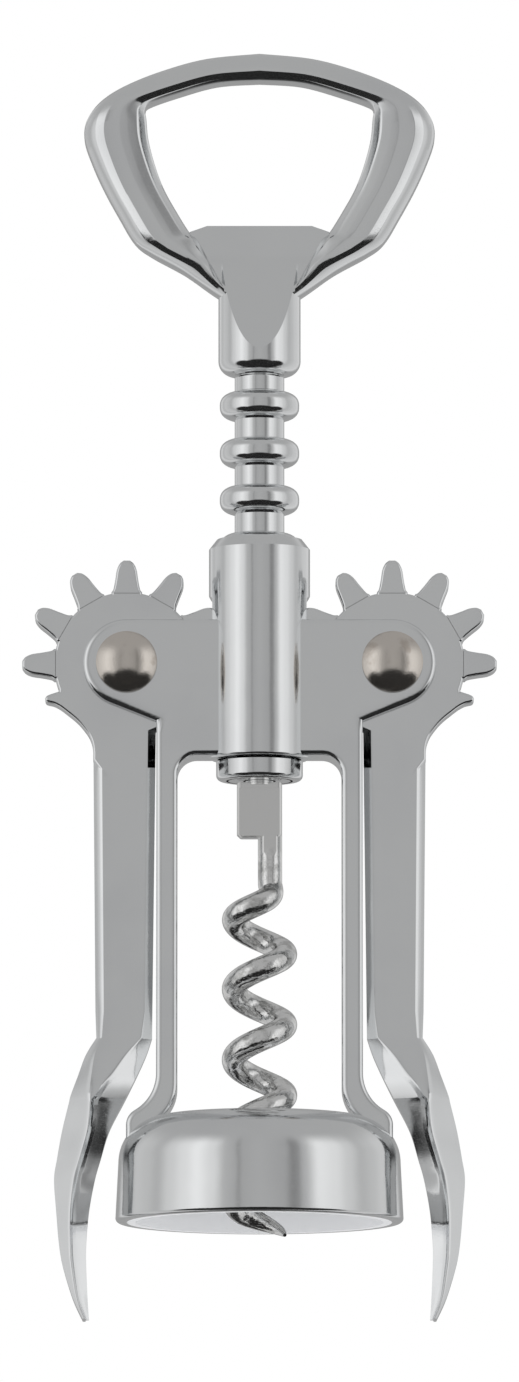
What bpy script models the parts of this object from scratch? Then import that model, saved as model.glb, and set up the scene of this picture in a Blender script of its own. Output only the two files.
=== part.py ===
"""Wing corkscrew: bell frame, geared wing levers, circular rack spindle, worm and cap opener handle.

Metres, +Z up, front towards -Y. The origin lies under the middle of the corkscrew,
level with the tips of the hanging levers.
"""
import math

import bmesh
import bpy
from mathutils import Matrix, Vector

COLLECTION_NAME = "wing_corkscrew"
CUTTER_COLLECTION_NAME = "wing_corkscrew_cutters"

# Fits that several pieces share
SEAT_GAP = 0.0003
CUT_OVERRUN = 0.002
WELD_OVERLAP = 0.0008
WELD_INSET = 0.00001
MERGE_DISTANCE = 0.000001

# Circular rack and the gears that it drives
RIB_PITCH = 0.0067
GEAR_TEETH_PER_TURN = 12
GEAR_ADDENDUM = 0.0019
GEAR_DEDENDUM = 0.0026
GEAR_TIP_CLEARANCE = 0.0005
RIB_RADIUS = 0.0056
NECK_RADIUS = 0.0035
RIB_LENGTH = 0.0040
RIBS_ABOVE_PIVOT = 6
RIBS_BELOW_PIVOT = 2

# Lever pivots
LEVER_LENGTH = 0.0924
LEVER_THICKNESS = 0.0044
RIVET_SHANK_RADIUS = 0.0025
RIVET_HEAD_RADIUS = 0.0045
RIVET_HEAD_HEIGHT = 0.0021
RIVET_EDGE_HEIGHT = 0.0004

# Frame, seen from the front
FRAME_THICKNESS = 0.0084
EAR_RADIUS = 0.0061
EAR_SLOPE = math.radians(21.6)
WEB_DEPTH_BELOW_PIVOT = 0.0131
UPRIGHT_OUTER_X = 0.01450
UPRIGHT_INNER_X = 0.01155
WINDOW_FILLET = 0.00275
FOOT_OUTER_CURVE = 0.0060
FOOT_INNER_CURVE = 0.0060
FOOT_OUTER_RISE = 0.0058
FOOT_INNER_RISE = 0.0052
FOOT_OUTER_SPREAD = 0.0030
FOOT_INNER_SPREAD = 0.0022
FRAME_EDGE_ROUND = 0.0006

# Bell
BELL_RIM_DROP = 0.0787
BELL_HEIGHT = 0.0149
BELL_RIM_RADIUS = 0.0202
BELL_BODY_RADIUS = 0.0198
BELL_SHOULDER_ROUND = 0.0065
BELL_RIM_ROUND = 0.0006
BELL_WALL = 0.0024
CORK_HOLE_RADIUS = 0.0114

# Guide barrel
BARREL_RADIUS = 0.00712
BARREL_RISE_ABOVE_PIVOT = 0.0178
BARREL_CHAMFER_WIDTH = 0.0011
BARREL_CHAMFER_HEIGHT = 0.0014
BARREL_BOTTOM_ROUND = 0.0005
BARREL_BELOW_WEB = 0.0003

# Stop collar and the spindle's lower end
COLLAR_RADIUS = 0.0061
COLLAR_HEIGHT = 0.0027
COLLAR_EDGE_ROUND = 0.0008
PEENED_FLANGE_RADIUS = 0.0044
PEENED_FLANGE_HEIGHT = 0.0009
TANG_BORE_DEPTH = 0.0180

# Worm
WORM_OUTER_RADIUS = 0.0053
WORM_WIRE_RADIUS = 0.0017
WORM_PITCH = 0.00995
WORM_TIP_RADIUS = 0.00025
WORM_TIP_DROP = 0.0804
WORM_TIP_ANGLE = math.radians(10)
WORM_TAPER_TURNS = 0.45
WORM_TAPER_POWER = 0.8
WORM_OPENING_TURNS = 0.25
WORM_LEAD_IN = 0.0050
TANG_RADIUS = 0.00318
TANG_FLAT_DEPTH = 0.0016
TANG_LENGTH = 0.0078
TANG_PIN_RADIUS = 0.0020
TANG_PIN_LENGTH = 0.0170

# Handle
STEM_RADIUS = 0.0058
STEM_END_ROUND = 0.0021
STEM_END_ABOVE_TOP_RIB = 0.0023
SPINDLE_STUB_RADIUS = 0.0026
SPINDLE_STUB_LENGTH = 0.0080
HANDLE_HEIGHT = 0.0460
RING_HALF_WIDTH = 0.0248
RING_HALF_DEPTH = 0.0041
TONGUE_HALF_DEPTH = 0.0020
TONGUE_TOP_HALF_WIDTH = 0.0074
TONGUE_CORNER_HALF_WIDTH = 0.0098
TONGUE_CORNER_DROP = 0.00085
TONGUE_RISE = 0.0212
PANEL_SLOPE = math.radians(15.7)
PANEL_START_RISE = 0.0033
PANEL_THROAT_HALF_WIDTH = 0.0050
PANEL_THROAT_RISE = 0.0120

# Mesh fineness
TURN_STEPS = 24
BELL_TURN_STEPS = 48
BARREL_TURN_STEPS = 32
RIVET_TURN_STEPS = 20
RIVET_DOME_STEPS = 4
HOLE_STEPS = 32
WORM_STEPS_PER_TURN = 16
ARC_STEPS = 6
SMOOTH_ANGLE = math.radians(32)

# Places that follow from the sizes above
PITCH_RADIUS = GEAR_TEETH_PER_TURN * RIB_PITCH / math.tau
GEAR_TIP_RADIUS = PITCH_RADIUS + GEAR_ADDENDUM
GEAR_ROOT_RADIUS = PITCH_RADIUS - GEAR_DEDENDUM
PIVOT_X = NECK_RADIUS + GEAR_TIP_CLEARANCE + GEAR_TIP_RADIUS
PIVOT_Z = LEVER_LENGTH
WEB_BOTTOM_Z = PIVOT_Z - WEB_DEPTH_BELOW_PIVOT
WEB_TOP_Z = PIVOT_Z + EAR_RADIUS
BARREL_TOP_Z = PIVOT_Z + BARREL_RISE_ABOVE_PIVOT
BARREL_BOTTOM_Z = WEB_BOTTOM_Z - BARREL_BELOW_WEB
BORE_RADIUS = RIB_RADIUS + SEAT_GAP
RIM_Z = PIVOT_Z - BELL_RIM_DROP
BELL_TOP_Z = RIM_Z + BELL_HEIGHT
BELL_CEILING_Z = BELL_TOP_Z - BELL_WALL
SLOT_RADIUS = GEAR_TIP_RADIUS + GEAR_TIP_CLEARANCE
SLOT_WIDTH = LEVER_THICKNESS + 2 * SEAT_GAP
RIVET_HOLE_RADIUS = RIVET_SHANK_RADIUS + SEAT_GAP
TOP_RIB_Z = PIVOT_Z + (RIBS_ABOVE_PIVOT - 0.5) * RIB_PITCH
STEM_END_Z = TOP_RIB_Z + RIB_LENGTH / 2 + STEM_END_ABOVE_TOP_RIB
COLLAR_TOP_Z = BARREL_BOTTOM_Z - SEAT_GAP
COLLAR_BOTTOM_Z = COLLAR_TOP_Z - COLLAR_HEIGHT
SPINDLE_END_Z = COLLAR_BOTTOM_Z
TANG_TOP_Z = SPINDLE_END_Z - SEAT_GAP
TANG_END_Z = TANG_TOP_Z - TANG_LENGTH
HELIX_RADIUS = WORM_OUTER_RADIUS - WORM_WIRE_RADIUS
PANEL_LEVEL_RISE = PANEL_START_RISE + (STEM_RADIUS - TONGUE_HALF_DEPTH) / math.tan(PANEL_SLOPE)


def clear_scene():
    """Empty the scene, the collections and the data that an earlier run left."""
    for old in list(bpy.data.objects):
        bpy.data.objects.remove(old, do_unlink=True)
    for old in list(bpy.data.collections):
        bpy.data.collections.remove(old)


def new_collection(name):
    collection = bpy.data.collections.new(name)
    bpy.context.scene.collection.children.link(collection)
    return collection


def new_material(name, colour, roughness, metallic=1.0):
    material = bpy.data.materials.new(name)
    material.use_nodes = True
    shader = material.node_tree.nodes["Principled BSDF"]
    shader.inputs["Base Color"].default_value = (*colour, 1.0)
    shader.inputs["Roughness"].default_value = roughness
    shader.inputs["Metallic"].default_value = metallic
    material.diffuse_color = (*colour, 1.0)
    return material


def new_object(name, mesh, collection):
    made = bpy.data.objects.new(name, mesh)
    collection.objects.link(made)
    return made


def mark_as_cutter(cutter):
    cutter.hide_render = True
    cutter.display_type = "WIRE"
    return cutter


def arc_points(centre, radius, start_angle, end_angle, steps=ARC_STEPS):
    """Points of an arc in a plane, both ends included."""
    points = []
    for step in range(steps + 1):
        angle = start_angle + (end_angle - start_angle) * step / steps
        points.append((centre[0] + radius * math.cos(angle), centre[1] + radius * math.sin(angle)))
    return points


def smooth_through(points, steps):
    """A Catmull-Rom curve through points of any dimension, steps points to each stretch."""
    count = len(points)
    result = []
    for index in range(count - 1):
        before = points[max(index - 1, 0)]
        start = points[index]
        end = points[index + 1]
        after = points[min(index + 2, count - 1)]
        for step in range(steps):
            t = step / steps
            result.append(tuple(
                0.5 * (2 * b + (c - a) * t + (2 * a - 5 * b + 4 * c - d) * t**2
                       + (3 * b - a - 3 * c + d) * t**3)
                for a, b, c, d in zip(before, start, end, after)))
    result.append(tuple(points[-1]))
    return result


def turned(name, profile, collection, steps=TURN_STEPS):
    """A profile of (radius, height) points, top to bottom on its outer side, turned about Z."""
    edges = [(index, index + 1) for index in range(len(profile) - 1)]
    if profile[0] == profile[-1]:
        profile = profile[:-1]
        edges[-1] = (len(profile) - 1, 0)
    mesh = bpy.data.meshes.new(name)
    mesh.from_pydata([(radius, 0.0, height) for radius, height in profile], edges, [])
    made = new_object(name, mesh, collection)
    screw = made.modifiers.new("Turn", "SCREW")
    screw.angle = math.tau
    screw.steps = steps
    screw.render_steps = steps
    screw.use_merge_vertices = True
    screw.merge_threshold = MERGE_DISTANCE
    screw.use_smooth_shade = True
    return made


def as_mesh(source, collection):
    """Replace an object by the welded mesh of what its curve or its modifiers make."""
    graph = bpy.context.evaluated_depsgraph_get()
    mesh = bpy.data.meshes.new_from_object(source.evaluated_get(graph))
    shape = bmesh.new()
    shape.from_mesh(mesh)
    bmesh.ops.remove_doubles(shape, verts=shape.verts, dist=MERGE_DISTANCE)
    bmesh.ops.recalc_face_normals(shape, faces=shape.faces)
    shape.to_mesh(mesh)
    shape.free()
    name = source.name
    place = source.matrix_world.copy()
    bpy.data.objects.remove(source, do_unlink=True)
    made = new_object(name, mesh, collection)
    made.matrix_world = place
    return made


def flat_plate(name, outline, thickness, collection):
    """An outline in the XZ plane, extruded evenly to both sides of that plane."""
    curve = bpy.data.curves.new(name, "CURVE")
    curve.dimensions = "2D"
    curve.fill_mode = "BOTH"
    curve.extrude = thickness / 2
    spline = curve.splines.new("POLY")
    spline.points.add(len(outline) - 1)
    for point, (x, z) in zip(spline.points, outline):
        point.co = (x, z, 0.0, 1.0)
    spline.use_cyclic_u = True
    made = new_object(name, curve, collection)
    made.matrix_world = Matrix.Rotation(math.radians(90), 4, "X")
    bpy.context.view_layer.update()
    made = as_mesh(made, collection)
    made.data.transform(made.matrix_world)
    made.matrix_world = Matrix.Identity(4)
    return made


def lofted(name, rings, collection, closed_round=False):
    """A skin over rings of equally many points, capped at both ends or closed on itself."""
    shape = bmesh.new()
    rows = [[shape.verts.new(point) for point in ring] for ring in rings]
    pairs = list(zip(rows, rows[1:]))
    if closed_round:
        pairs.append((rows[-1], rows[0]))
    for lower, upper in pairs:
        for index in range(len(lower)):
            after = (index + 1) % len(lower)
            shape.faces.new((lower[index], lower[after], upper[after], upper[index]))
    if not closed_round:
        shape.faces.new(rows[0][::-1])
        shape.faces.new(rows[-1])
    bmesh.ops.recalc_face_normals(shape, faces=shape.faces)
    mesh = bpy.data.meshes.new(name)
    shape.to_mesh(mesh)
    shape.free()
    return new_object(name, mesh, collection)


def cylinder(name, radius, length, place, axis, collection, steps=TURN_STEPS):
    """A cylinder about the given axis through place, half its length to each side."""
    shape = bmesh.new()
    bmesh.ops.create_cone(shape, cap_ends=True, segments=steps, radius1=radius, radius2=radius,
                          depth=length)
    if axis == "Y":
        bmesh.ops.rotate(shape, verts=shape.verts, matrix=Matrix.Rotation(math.radians(90), 3, "X"))
    mesh = bpy.data.meshes.new(name)
    shape.to_mesh(mesh)
    shape.free()
    made = new_object(name, mesh, collection)
    made.location = place
    return made


def combine(target, other, operation):
    """Join another solid to the target, or cut the target with it. It then moves with the target."""
    modifier = target.modifiers.new(f"{operation.title()} {other.name}", "BOOLEAN")
    modifier.operation = operation
    modifier.solver = "EXACT"
    modifier.object = other
    other.parent = target
    mark_as_cutter(other)
    return modifier


def round_edges(target, width, segments=2, angle=math.radians(40)):
    bevel = target.modifiers.new("Rounded edges", "BEVEL")
    bevel.width = width
    bevel.segments = segments
    bevel.limit_method = "ANGLE"
    bevel.angle_limit = angle
    bevel.use_clamp_overlap = True


def smooth(target):
    for polygon in target.data.polygons:
        polygon.use_smooth = True
    target.data.set_sharp_from_angle(angle=SMOOTH_ANGLE)


def frame_outline():
    """Upside-down U of web, ears and uprights, its feet ending inside the bell's wall."""
    ear_side = [(PIVOT_X, WEB_TOP_Z)]
    ear_end_angle = EAR_SLOPE - math.radians(90)
    ear_side += arc_points((PIVOT_X, PIVOT_Z), EAR_RADIUS, math.radians(90), ear_end_angle, 3 * ARC_STEPS)[1:]
    ear_end_x, ear_end_z = ear_side[-1]
    corner_z = ear_end_z - (ear_end_x - UPRIGHT_OUTER_X) * math.tan(EAR_SLOPE)
    ear_side.append((UPRIGHT_OUTER_X, corner_z))

    foot_z = BELL_CEILING_Z - BELL_WALL
    outer_foot_centre = (UPRIGHT_OUTER_X + FOOT_OUTER_CURVE, BELL_TOP_Z + FOOT_OUTER_RISE)
    outer_foot_sweep = math.acos(1 - FOOT_OUTER_SPREAD / FOOT_OUTER_CURVE)
    outer = arc_points(outer_foot_centre, FOOT_OUTER_CURVE, math.pi, math.pi + outer_foot_sweep)
    outer.append((outer[-1][0], foot_z))

    inner_foot_centre = (UPRIGHT_INNER_X + FOOT_INNER_CURVE, BELL_TOP_Z + FOOT_INNER_RISE)
    inner_foot_sweep = math.acos(1 - FOOT_INNER_SPREAD / FOOT_INNER_CURVE)
    inner = arc_points(inner_foot_centre, FOOT_INNER_CURVE, math.pi + inner_foot_sweep, math.pi)
    inner.insert(0, (inner[0][0], foot_z))

    window_corner = (UPRIGHT_INNER_X - WINDOW_FILLET, WEB_BOTTOM_Z - WINDOW_FILLET)
    window_top = arc_points(window_corner, WINDOW_FILLET, 0.0, math.radians(90))

    right_half = ear_side + outer + inner + window_top
    left_half = [(-x, z) for x, z in reversed(right_half)]
    return right_half + left_half


def bell_profile():
    """Outside of the bell, from the middle of its top down to the rim, as a full solid."""
    shoulder_centre = (BELL_BODY_RADIUS - BELL_SHOULDER_ROUND, BELL_TOP_Z - BELL_SHOULDER_ROUND)
    rim_centre = (BELL_RIM_RADIUS - BELL_RIM_ROUND, RIM_Z + BELL_RIM_ROUND)
    profile = [(0.0, BELL_TOP_Z)]
    profile += arc_points(shoulder_centre, BELL_SHOULDER_ROUND, math.radians(90), 0.0)
    profile += arc_points(rim_centre, BELL_RIM_ROUND, 0.0, math.radians(-90), ARC_STEPS // 2)
    profile.append((0.0, RIM_Z))
    return profile


def bell_cavity_profile():
    """Room for the bottle's lip, with the hole that the cork is drawn through."""
    wall_radius = BELL_BODY_RADIUS - BELL_WALL
    round_inside = BELL_SHOULDER_ROUND - BELL_WALL
    ceiling_centre = (wall_radius - round_inside, BELL_CEILING_Z - round_inside)
    mouth_z = RIM_Z - CUT_OVERRUN
    profile = [(0.0, BELL_TOP_Z + CUT_OVERRUN), (CORK_HOLE_RADIUS, BELL_TOP_Z + CUT_OVERRUN)]
    profile.append((CORK_HOLE_RADIUS, BELL_CEILING_Z))
    profile += arc_points(ceiling_centre, round_inside, math.radians(90), 0.0)
    profile += [(wall_radius, mouth_z), (0.0, mouth_z)]
    return profile


def barrel_profile():
    shoulder_radius = BARREL_RADIUS - BARREL_CHAMFER_WIDTH
    bottom_centre = (BARREL_RADIUS - BARREL_BOTTOM_ROUND, BARREL_BOTTOM_Z + BARREL_BOTTOM_ROUND)
    profile = [(0.0, BARREL_TOP_Z), (shoulder_radius, BARREL_TOP_Z)]
    profile.append((BARREL_RADIUS, BARREL_TOP_Z - BARREL_CHAMFER_HEIGHT))
    profile += arc_points(bottom_centre, BARREL_BOTTOM_ROUND, 0.0, math.radians(-90), ARC_STEPS // 2)
    profile.append((0.0, BARREL_BOTTOM_Z))
    return profile


def make_frame(parts, cutters):
    """One casting: bell, uprights, web with its four ears, and the guide barrel."""
    frame = flat_plate("frame", frame_outline(), FRAME_THICKNESS, parts)
    round_edges(frame, FRAME_EDGE_ROUND)
    combine(frame, turned("bell_solid", bell_profile(), cutters, BELL_TURN_STEPS), "UNION")
    combine(frame, turned("barrel_solid", barrel_profile(), cutters, BARREL_TURN_STEPS), "UNION")
    combine(frame, turned("bell_cavity", bell_cavity_profile(), cutters, BELL_TURN_STEPS), "DIFFERENCE")

    bore_length = BARREL_TOP_Z - BARREL_BOTTOM_Z + 2 * CUT_OVERRUN
    bore_place = (0.0, 0.0, (BARREL_TOP_Z + BARREL_BOTTOM_Z) / 2)
    combine(frame, cylinder("spindle_bore", BORE_RADIUS, bore_length, bore_place, "Z", cutters), "DIFFERENCE")

    for side, sign in (("left", -1), ("right", 1)):
        pivot = (sign * PIVOT_X, 0.0, PIVOT_Z)
        slot = cylinder(f"{side}_gear_slot", SLOT_RADIUS, SLOT_WIDTH, pivot, "Y", cutters, BELL_TURN_STEPS)
        combine(frame, slot, "DIFFERENCE")
        hole_length = FRAME_THICKNESS + 2 * CUT_OVERRUN
        hole = cylinder(f"{side}_ear_hole", RIVET_HOLE_RADIUS, hole_length, pivot, "Y", cutters, HOLE_STEPS)
        combine(frame, hole, "DIFFERENCE")
    smooth(frame)
    return frame


# Gear tooth: height above the root and half width, as shares of tooth height and of the foot's half width
TOOTH_FOOT_HALF_WIDTH = 0.00215
TOOTH_SHAPE_SHARES = ((0.0, 1.0), (0.10, 0.87), (0.40, 0.75), (0.70, 0.65), (0.90, 0.46), (1.0, 0.20))
FULL_TEETH = 7
STUB_TOOTH_ANGLE = math.radians(207)
STUB_TIP_RADIUS = 0.0132

# Lever arm, measured outwards from the pivot
ARM_INNER_OFFSET = 0.0036
ARM_OUTER_OFFSET = 0.0047
ARM_LOWER_OUTER_OFFSET = 0.0043
ARM_LOWER_INNER_OFFSET = 0.0031
SHOULDER_DROP = 0.0136
SHOULDER_CORNER_OUT = 0.0066
SHOULDER_CORNER_DROP = 0.0087
SHOULDER_BEND_OUT = 0.0052
SHOULDER_BEND_DROP = 0.0108
HORN_START_DROP = 0.0528
LEVER_EDGE_ROUND = 0.0005

# Horn: each row is drop share of its length, then distances outwards from the pivot of the
# outer edge, the ridge's two sides and the inner edge, and the half depth at the ridge.
# The distances are shares of the horn's reach, and the depth is a share of its greatest.
HORN_REACH = 0.0101
HORN_HALF_DEPTH = 0.0040
HORN_EDGE_HALF_DEPTH = 0.0005
HORN_TIP_EDGE_HALF_DEPTH = 0.0022
HORN_SHAPE_SHARES = (
    (0.000, 0.416, 0.356, -0.198, -0.317, 0.550),
    (0.062, 0.564, 0.446, 0.030, -0.257, 0.675),
    (0.137, 0.673, 0.485, 0.238, -0.143, 0.800),
    (0.205, 0.772, 0.505, 0.416, -0.010, 0.900),
    (0.235, 0.800, 0.510, 0.490, 0.050, 0.925),
    (0.331, 0.891, 0.545, 0.525, 0.238, 0.975),
    (0.432, 0.960, 0.650, 0.635, 0.356, 1.000),
    (0.505, 1.000, 0.729, 0.715, 0.436, 0.980),
    (0.616, 0.970, 0.779, 0.765, 0.515, 0.950),
    (0.732, 0.931, 0.782, 0.768, 0.554, 0.900),
    (0.806, 0.881, 0.762, 0.748, 0.554, 0.860),
    (0.922, 0.743, 0.690, 0.676, 0.535, 0.800),
    (1.000, 0.604, 0.580, 0.566, 0.515, 0.750),
)


def tooth_points(angle, tip_radius):
    """One tooth, standing at an angle from the line to the spindle, from its lower to its upper flank."""
    height = tip_radius - GEAR_ROOT_RADIUS
    lower = [(GEAR_ROOT_RADIUS + rise * height, -half * TOOTH_FOOT_HALF_WIDTH)
             for rise, half in TOOTH_SHAPE_SHARES]
    upper = [(along, -across) for along, across in reversed(lower)]
    points = []
    for along, across in lower + upper:
        points.append((-along * math.cos(angle) + across * math.sin(angle),
                       along * math.sin(angle) + across * math.cos(angle)))
    return points


def lever_outline():
    """Gear sector and arm, x outwards from the pivot and z up from it."""
    tooth_step = math.tau / GEAR_TEETH_PER_TURN
    arm_meets_root = math.asin(ARM_INNER_OFFSET / GEAR_ROOT_RADIUS)
    first_foot = math.asin(TOOTH_FOOT_HALF_WIDTH / GEAR_ROOT_RADIUS)
    outline = [(-ARM_LOWER_INNER_OFFSET, -HORN_START_DROP)]
    outline += arc_points((0.0, 0.0), GEAR_ROOT_RADIUS, math.radians(270) - arm_meets_root,
                          math.radians(180) + 2 * first_foot, ARC_STEPS // 2)
    for tooth in range(FULL_TEETH):
        outline += tooth_points(tooth * tooth_step, GEAR_TIP_RADIUS)
    stub = tooth_points(STUB_TOOTH_ANGLE, STUB_TIP_RADIUS)
    outline += stub[:len(TOOTH_SHAPE_SHARES)]
    outline += [(SHOULDER_CORNER_OUT, -SHOULDER_CORNER_DROP), (SHOULDER_BEND_OUT, -SHOULDER_BEND_DROP)]
    outline += [(ARM_OUTER_OFFSET, -SHOULDER_DROP), (ARM_LOWER_OUTER_OFFSET, -HORN_START_DROP)]
    return outline


def horn_ring(row):
    """Lens-shaped section of the horn, with a ridge at the front and at the back."""
    drop, outer, ridge_out, ridge_in, inner, depth = row
    z = -HORN_START_DROP - drop * (LEVER_LENGTH - HORN_START_DROP)
    half_depth = depth * HORN_HALF_DEPTH
    edge = HORN_EDGE_HALF_DEPTH + (HORN_TIP_EDGE_HALF_DEPTH - HORN_EDGE_HALF_DEPTH) * drop ** 4
    corners = ((outer, edge), (ridge_out, half_depth), (ridge_in, half_depth), (inner, edge))
    front = [(HORN_REACH * across, -depth_here, z) for across, depth_here in corners]
    back = [(x, -y, z_here) for x, y, z_here in reversed(front)]
    return front + back


def make_lever(side, sign, parts, cutters):
    """One casting: gear sector, arm and horn, with its origin on the pivot."""
    lever = flat_plate(f"{side}_lever", lever_outline(), LEVER_THICKNESS, parts)
    round_edges(lever, LEVER_EDGE_ROUND, segments=1)
    rows = [HORN_SHAPE_SHARES[0]] + smooth_through(HORN_SHAPE_SHARES[1:], 2)
    rings = [horn_ring(row) for row in rows]
    lead = [(x - math.copysign(WELD_INSET, x), y - math.copysign(WELD_INSET, y), z + WELD_OVERLAP)
            for x, y, z in rings[0]]
    horn = lofted(f"{side}_horn", [lead] + rings, cutters)
    combine(lever, horn, "UNION")
    hole_length = LEVER_THICKNESS + 2 * CUT_OVERRUN
    pivot = (0.0, 0.0, 0.0)
    hole = cylinder(f"{side}_lever_hole", RIVET_HOLE_RADIUS, hole_length, pivot, "Y", cutters, HOLE_STEPS)
    combine(lever, hole, "DIFFERENCE")
    if sign < 0:
        for piece in (lever, horn):
            piece.data.transform(Matrix.Scale(-1.0, 4, Vector((1.0, 0.0, 0.0))))
            piece.data.flip_normals()
    lever.location = (sign * PIVOT_X, 0.0, PIVOT_Z)
    smooth(lever)
    return lever


def make_rivet(side, sign, parts):
    """Dome-headed rivet through both ears and the lever, its axis along Y."""
    seat = FRAME_THICKNESS / 2 + SEAT_GAP
    dome_rise = RIVET_HEAD_HEIGHT - RIVET_EDGE_HEIGHT
    dome_radius = (RIVET_HEAD_RADIUS**2 + dome_rise**2) / (2 * dome_rise)
    dome_centre = (0.0, seat + RIVET_HEAD_HEIGHT - dome_radius)
    edge_angle = math.acos(RIVET_HEAD_RADIUS / dome_radius)
    dome = arc_points(dome_centre, dome_radius, math.radians(90), edge_angle, RIVET_DOME_STEPS)
    dome[0] = (0.0, seat + RIVET_HEAD_HEIGHT)
    upper = dome + [(RIVET_HEAD_RADIUS, seat), (RIVET_SHANK_RADIUS, seat)]
    lower = [(radius, -height) for radius, height in reversed(upper)]
    rivet = turned(f"{side}_rivet", upper + lower, parts, RIVET_TURN_STEPS)
    rivet.rotation_euler = (math.radians(90), 0.0, 0.0)
    rivet.location = (sign * PIVOT_X, 0.0, PIVOT_Z)
    return rivet


# Half of a rack rib: height from its middle and radius above the neck, as shares of half its
# length and of its depth
RIB_SHAPE_SHARES = ((1.0, 0.0), (0.80, 0.62), (0.50, 0.90), (0.18, 1.0))


def spindle_profile():
    """Stub, neck with its round rack ribs, collar journal, peened flange and blind tang bore."""
    rib_depth = RIB_RADIUS - NECK_RADIUS
    shoulder_z = STEM_END_Z - SEAT_GAP
    stub_top_z = shoulder_z + SPINDLE_STUB_LENGTH
    tang_bore_radius = TANG_PIN_RADIUS + SEAT_GAP
    profile = [(0.0, stub_top_z), (SPINDLE_STUB_RADIUS, stub_top_z)]
    profile += [(SPINDLE_STUB_RADIUS, shoulder_z), (NECK_RADIUS, shoulder_z)]
    for rib in range(RIBS_ABOVE_PIVOT - 1, -RIBS_BELOW_PIVOT - 1, -1):
        middle = PIVOT_Z + (rib + 0.5) * RIB_PITCH
        half = [(NECK_RADIUS + rise * rib_depth, share * RIB_LENGTH / 2) for share, rise in RIB_SHAPE_SHARES]
        profile += [(radius, middle + height) for radius, height in half]
        profile += [(radius, middle - height) for radius, height in reversed(half)]
    flange_top_z = SPINDLE_END_Z + PEENED_FLANGE_HEIGHT
    profile += [(NECK_RADIUS, flange_top_z), (PEENED_FLANGE_RADIUS, flange_top_z)]
    profile += [(PEENED_FLANGE_RADIUS, SPINDLE_END_Z), (tang_bore_radius, SPINDLE_END_Z)]
    bore_top_z = SPINDLE_END_Z + TANG_BORE_DEPTH
    profile += [(tang_bore_radius, bore_top_z), (0.0, bore_top_z + tang_bore_radius / 2)]
    return profile


def collar_profile():
    """Ring with a recess below for the spindle's peened flange."""
    edge_centre = (COLLAR_RADIUS - COLLAR_EDGE_ROUND, COLLAR_BOTTOM_Z + COLLAR_EDGE_ROUND)
    bore_radius = NECK_RADIUS + SEAT_GAP
    recess_radius = PEENED_FLANGE_RADIUS + SEAT_GAP
    recess_top_z = SPINDLE_END_Z + PEENED_FLANGE_HEIGHT + SEAT_GAP
    profile = [(bore_radius, COLLAR_TOP_Z), (COLLAR_RADIUS, COLLAR_TOP_Z)]
    profile += arc_points(edge_centre, COLLAR_EDGE_ROUND, 0.0, math.radians(-90), ARC_STEPS // 2)
    profile += [(recess_radius, COLLAR_BOTTOM_Z), (recess_radius, recess_top_z), (bore_radius, recess_top_z)]
    profile.append((bore_radius, COLLAR_TOP_Z))
    return profile


def worm_path():
    """Centre line of the wire, top to tip, as (x, y, z, share of the wire's radius)."""
    wire_offset = TANG_RADIUS - WORM_WIRE_RADIUS
    tip_z = PIVOT_Z - WORM_TIP_DROP
    helix_top_z = TANG_END_Z - WORM_LEAD_IN
    turns = (helix_top_z - tip_z) / WORM_PITCH
    start_angle = WORM_TIP_ANGLE + math.tau * turns
    path = [(wire_offset, 0.0, TANG_END_Z + 2 * WORM_WIRE_RADIUS, 1.0)]
    steps = round(turns * WORM_STEPS_PER_TURN)
    for step in range(steps + 1):
        passed = turns * step / steps
        angle = start_angle - math.tau * passed
        opening = min(passed / WORM_OPENING_TURNS, 1.0)
        opening = opening * opening * (3 - 2 * opening)
        centre_x = (1 - opening) * wire_offset
        radius = opening * HELIX_RADIUS
        left = turns - passed
        growth = (left / WORM_TAPER_TURNS) ** WORM_TAPER_POWER
        thickness = min(1.0, WORM_TIP_RADIUS / WORM_WIRE_RADIUS + growth)
        path.append((centre_x + radius * math.cos(angle), radius * math.sin(angle),
                     helix_top_z - WORM_PITCH * passed, thickness))
    return path


def least_gap_between_turns(path):
    """Smallest clear distance between stretches of the wire that lie half a turn or more apart."""
    apart = WORM_STEPS_PER_TURN // 2
    gaps = []
    for index, first in enumerate(path):
        for second in path[index + apart:]:
            reach = math.dist(first[:3], second[:3])
            gaps.append(reach - (first[3] + second[3]) * WORM_WIRE_RADIUS)
    return min(gaps)


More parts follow.
